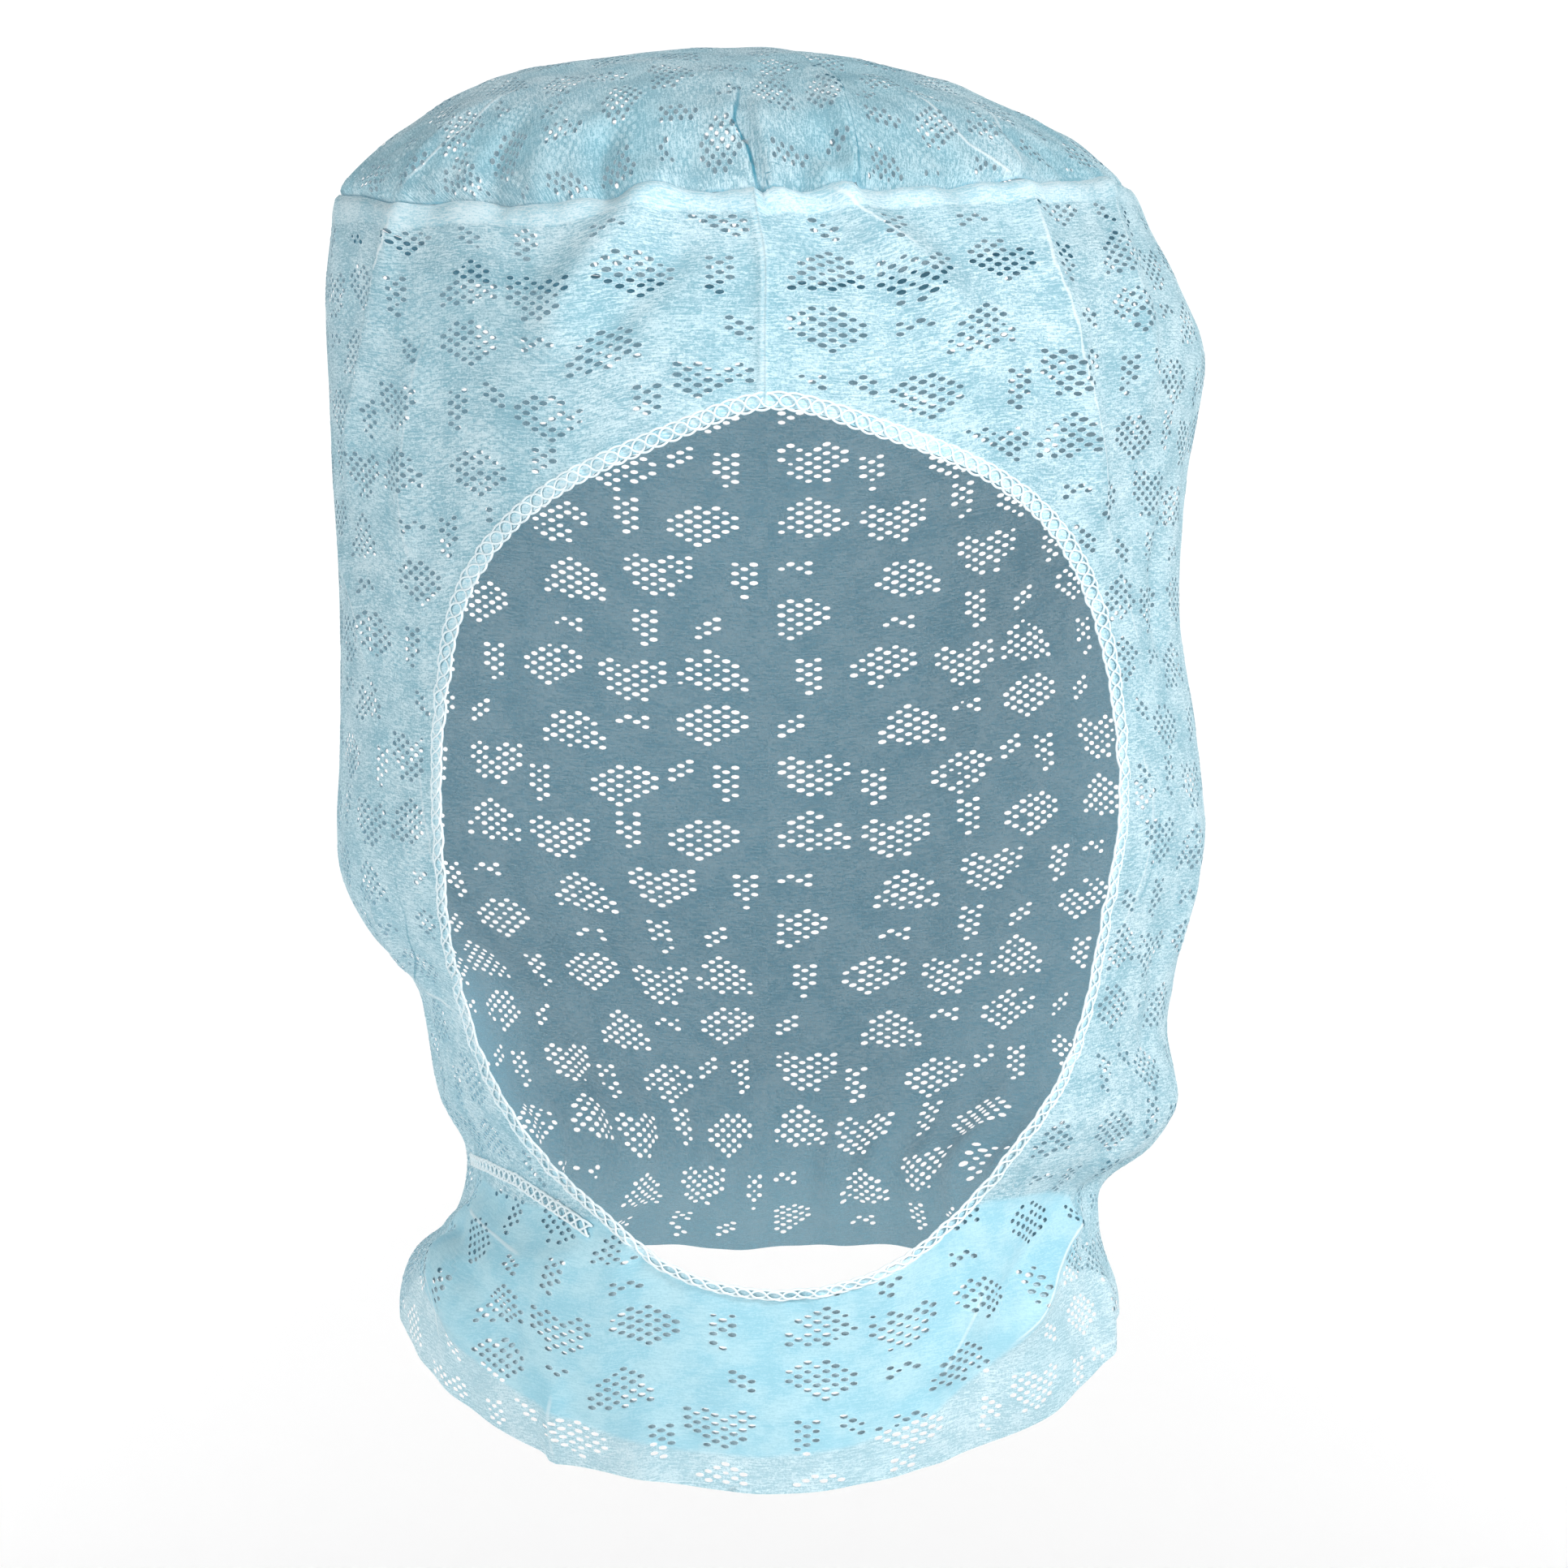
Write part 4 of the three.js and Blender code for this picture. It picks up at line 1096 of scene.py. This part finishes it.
def nonwoven(name, fibreLong, fibreAcross, tint, sheer):
    look, made = clothLook, material(name)
    add = partial(node, made)
    smoothStep, colour = {"interpolation_type": "SMOOTHSTEP"}, {"data_type": "RGBA"}
    times, addTo, most, size = ({"operation": kind} for kind in ("MULTIPLY", "MULTIPLY_ADD", "MAXIMUM", "ABSOLUTE"))
    # patterns lie on the flat cut: length round the head and length down it in mm, detail, roughness, distortion
    flatCut = add("UVMap", {"uv_map": "flatCut"}, {})[0]
    patterns = {
        "strands": (fibreLong, fibreAcross, 3.0, 0.65, 0.7),
        "crossed": (look["crossed"], look["crossed"], 3.0, 0.65, 0.6),
        "clouds": (look["cloud"] * 1.4, look["cloud"], 2.0, 0.55, 0.0),
        "drift": (look["drift"], look["drift"], 1.0, 0.5, 0.0),
    }
    noise = {}
    for pattern, (long, across, detail, rough, warp) in patterns.items():
        scaled = add("Mapping", {}, {"Vector": flatCut, "Scale": (uvSpan / long, uvSpan / across, 1)})[0]
        sockets = {"Vector": scaled, "Scale": 1.0, "Detail": detail, "Roughness": rough, "Distortion": warp}
        noise[pattern] = add("TexNoise", {"noise_dimensions": "2D"}, sockets)[0]
    fibre = 0.0
    for pattern, weight in (("strands", 0.48), ("crossed", 0.34), ("clouds", 0.18)):
        fibre = add("Math", addTo, {0: noise[pattern], 1: weight, 2: fibre})[0]

    # marks left on the meshes, and smooth ranges: what is measured, from, to, and the two values that it gives
    names = ("plyDepth", "turnedDepth", "rim", "creaseSide", "creaseMark")
    mark = {name: add("Attribute", {"attribute_name": name}, {})["Fac"] for name in names}
    away = add("Math", size, {0: mark["creaseSide"]})[0]
    ranges = {
        "dense": (fibre, 0.41, 0.61, 0, 1),
        "turnedDense": (fibre, 0.38, 0.56, 0, 1),
        "cloudy": (noise["clouds"], 0.35, 0.65, 0, 1),
        "drift": (noise["drift"], 0.35, 0.7, tint * 0.35, tint),
        "doubled": (mark["plyDepth"], -1.0, 0.8, 0, 1),
        "turned": (mark["turnedDepth"], -0.6, 0.4, 0, 1),
        "rim": (mark["rim"], 0.35, 1.0, 0, 1),
        "line": (away, 0.6, 0.12, 0, 1),
    }
    part = {name: add("MapRange", smoothStep, dict(enumerate(values)))[0] for name, values in ranges.items()}
    layered = add("Math", most, {0: part["doubled"], 1: part["turned"]})[0]
    crease = add("Math", times, {0: part["line"], 1: mark["creaseMark"]})[0]
    # painted highlight along the crests of the creases
    ridge = add("Math", {"operation": "MULTIPLY", "use_clamp": True}, {0: crease, 1: 0.8})[0]
    # painted shade along tuck lines, crease valleys and the crown seam line
    creaseShade = add("Math", {"operation": "MULTIPLY", "use_clamp": True}, {0: crease, 1: -1.0})[0]
    # painted highlight round the aperture rims
    rim = add("Math", times, {0: part["rim"], 1: 0.4})[0]
    # pale holds the painted highlights of the rims and the crease crests
    pale = add("Math", most, {0: rim, 1: ridge})[0]

    # tones laid over each other: how much, and which
    plySockets = {0: part["cloudy"], 6: linear(look["doubled"]), 7: linear(look["doubledDense"])}
    turnedSockets = {0: part["turnedDense"], 6: linear(look["turnedThin"]), 7: linear(look["turned"])}
    tone = linear(look["thin"])
    for amount, over in (
        (part["dense"], linear(look["dense"])),
        (part["drift"], linear(look["tinted"])),
        (add("Math", times, {0: part["doubled"], 1: 0.7})[0], add("Mix", colour, plySockets)[2]),
        (add("Math", times, {0: part["turned"], 1: 0.75})[0], add("Mix", colour, turnedSockets)[2]),
        (pale, linear(look["paintedHighlight"])),
        (creaseShade, linear(look["deep"])),
    ):
        tone = add("Mix", colour, {0: amount, 6: tone, 7: over})[2]
    # painted shade: back faces, the inside of the hood, are multiplied darker as if in shadow
    inner = add("NewGeometry", {}, {})["Backfacing"]
    tone = add("Mix", colour | {"blend_type": "MULTIPLY"}, {0: inner, 6: tone, 7: linear(look["inside"])})[2]

    height = add("Math", times, {0: crease, 1: 0.3})[0]
    height = add("Math", addTo, {0: fibre, 1: 0.10, 2: height})[0]
    bump = add("Bump", {}, {"Strength": 0.4, "Distance": mm, "Height": height})["Normal"]
    sockets = {"Base Color": tone, "Roughness": 0.85, "Normal": bump, "Specular IOR Level": 0.25}
    solid = add("BsdfPrincipled", {}, sockets | {"Sheen Weight": 0.15, "Sheen Roughness": 0.5})[0]
    glow = add("BsdfTranslucent", {}, {"Color": tone, "Normal": bump})[0]
    glowing = add("Mix", {"data_type": "FLOAT"}, {0: layered, 2: 0.09, 3: 0.05})[0]
    body = add("MixShader", {}, {0: glowing, 1: solid, 2: glow})[0]
    clear = add("BsdfTransparent", {}, {"Color": linear(look["open"])})[0]
    through = add("Mix", {"data_type": "FLOAT"}, {0: part["dense"], 2: sheer, 3: 0.04})[0]
    for cover, left in ((layered, 0.12), (pale, 0.3)):
        kept = add("MapRange", smoothStep, {0: cover, 1: 0, 2: 1, 3: 1, 4: left})[0]
        through = add("Math", times, {0: through, 1: kept})[0]
    whole = add("MixShader", {}, {0: through, 1: body, 2: clear})[0]
    add("OutputMaterial", {}, {"Surface": whole})
    return made


fibreLong, fibreAcross = clothLook["fibreLong"], clothLook["fibreAcross"]
wrapNonwoven = nonwoven("spunlacedViscose", fibreLong, fibreAcross, tint=0.16, sheer=0.22)
crownNonwoven = nonwoven("spunlacedViscoseCrown", fibreAcross, fibreLong, tint=0.46, sheer=0.34)

# Textured polyester overlock thread, crimped and bulky, so it is chalky and nearly white on the blue.
thread = material("bulkedPolyesterThread")
threadSockets = {"Base Color": linear("#E6F4F8"), "Roughness": 0.75, "Sheen Weight": 0.2, "Specular IOR Level": 0.3}
node(thread, "OutputMaterial", {}, {"Surface": node(thread, "BsdfPrincipled", {}, threadSockets)[0]})
print("materials ready")


def addPiece(name, mesh, finish):
    piece = newObject(name, mesh)
    mesh.materials.clear()
    mesh.materials.append(finish)
    return piece


# the pieces: mesh, finish, the solid of the frame that each stands for, and its slot
pieces = {}
for name, mesh, finish, solid, slotName in (
    ("wrapFront", wrapFrontMesh, wrapNonwoven, "wrap_panel", "apertured_nonwoven"),
    ("wrapBack", wrapBackMesh, wrapNonwoven, "wrap_panel", "apertured_nonwoven"),
    ("crown", crownMesh, crownNonwoven, "crown_panel", "apertured_nonwoven"),
    ("crownAllowance", allowanceMesh, wrapNonwoven, "crown_seam_allowance", "doubled_nonwoven"),
    ("frontSeam", stripMesh, wrapNonwoven, "front_seam", "doubled_nonwoven"),
    ("throatPly", plyMesh, wrapNonwoven, "throat_ply", "doubled_nonwoven"),
    ("faceEdge", edgeMesh, thread, "face_edge", "overlock_thread"),
    ("faceEdgeLoops", loopMesh, thread, "face_edge", "overlock_thread"),
    ("throatSeam", throatMesh, thread, "throat_seam", "overlock_thread"),
):
    pieces[name] = addPiece(name, mesh, finish)
    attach(pieces[name], "root")
    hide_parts(solid)

print("pieces placed")

# the studio
studio = dict(world=0.26, aim=(0, 0, -0.14), key=26, fill=15, paper=20)
scene = bpy.context.scene
scene.view_settings.view_transform = "Standard"
world = bpy.data.worlds.new("studio")
world.use_nodes = True
background = world.node_tree.nodes["Background"]
background.inputs[0].default_value, background.inputs[1].default_value = linear("#FFFFFF"), studio["world"]
scene.world = world


def softLight(name, place, aim, size, watts):
    data = bpy.data.lights.new(name, "AREA")
    data.shape, data.size, data.energy = "DISK", size, watts
    light = newObject(name, data)
    light.location = place
    light.rotation_euler = (Vector(aim) - Vector(place)).to_track_quat("-Z", "Y").to_euler()


softLight("keyLight", (1.2, -1.15, 0.55), studio["aim"], 0.35, studio["key"])
softLight("fillLight", (-1.2, -1.35, 0.1), studio["aim"], 0.8, studio["fill"])
for side in (-1, 1):
    softLight("paperLight", (side * 1.7, 1.7, 0.5), (side * 0.2, 3, -0.15), 1.0, studio["paper"])

# a sweep of white paper: floor, a rounded turn and a wall, in metres
sweep = dict(half=6, floor=-0.5, wall=3, tall=4, bend=1.2)
sheet, middle = bmesh.new(), Matrix.Translation((0, sweep["wall"] - sweep["half"], sweep["floor"]))
bmesh.ops.create_grid(sheet, x_segments=1, y_segments=1, size=sweep["half"], matrix=middle)
foot = [edge for edge in sheet.edges if all(vert.co.y > sweep["wall"] - 0.1 for vert in edge.verts)]
raised = bmesh.ops.extrude_edge_only(sheet, edges=foot)["geom"]
top = [item for item in raised if isinstance(item, bmesh.types.BMVert)]
bmesh.ops.translate(sheet, verts=top, vec=(0, 0, sweep["tall"]))
low, far = sweep["floor"] + 0.1, sweep["wall"] - 0.1
foot = [edge for edge in sheet.edges if all(vert.co.y > far and vert.co.z < low for vert in edge.verts)]
bmesh.ops.bevel(sheet, geom=foot, affect="EDGES", offset=sweep["bend"], segments=16, profile=0.5, material=-1)
bmesh.ops.recalc_face_normals(sheet, faces=sheet.faces)
# Matt white background paper, evenly pale.
whitePaper = material("mattPaper")
chalky = node(whitePaper, "BsdfDiffuse", {}, {"Color": linear("#FAFAFA")})[0]
node(whitePaper, "OutputMaterial", {}, {"Surface": chalky})
paper = addPiece("paperSweep", meshFrom(sheet, "paperSweep"), whitePaper)
smoothShade(paper.data)
print("studio ready")
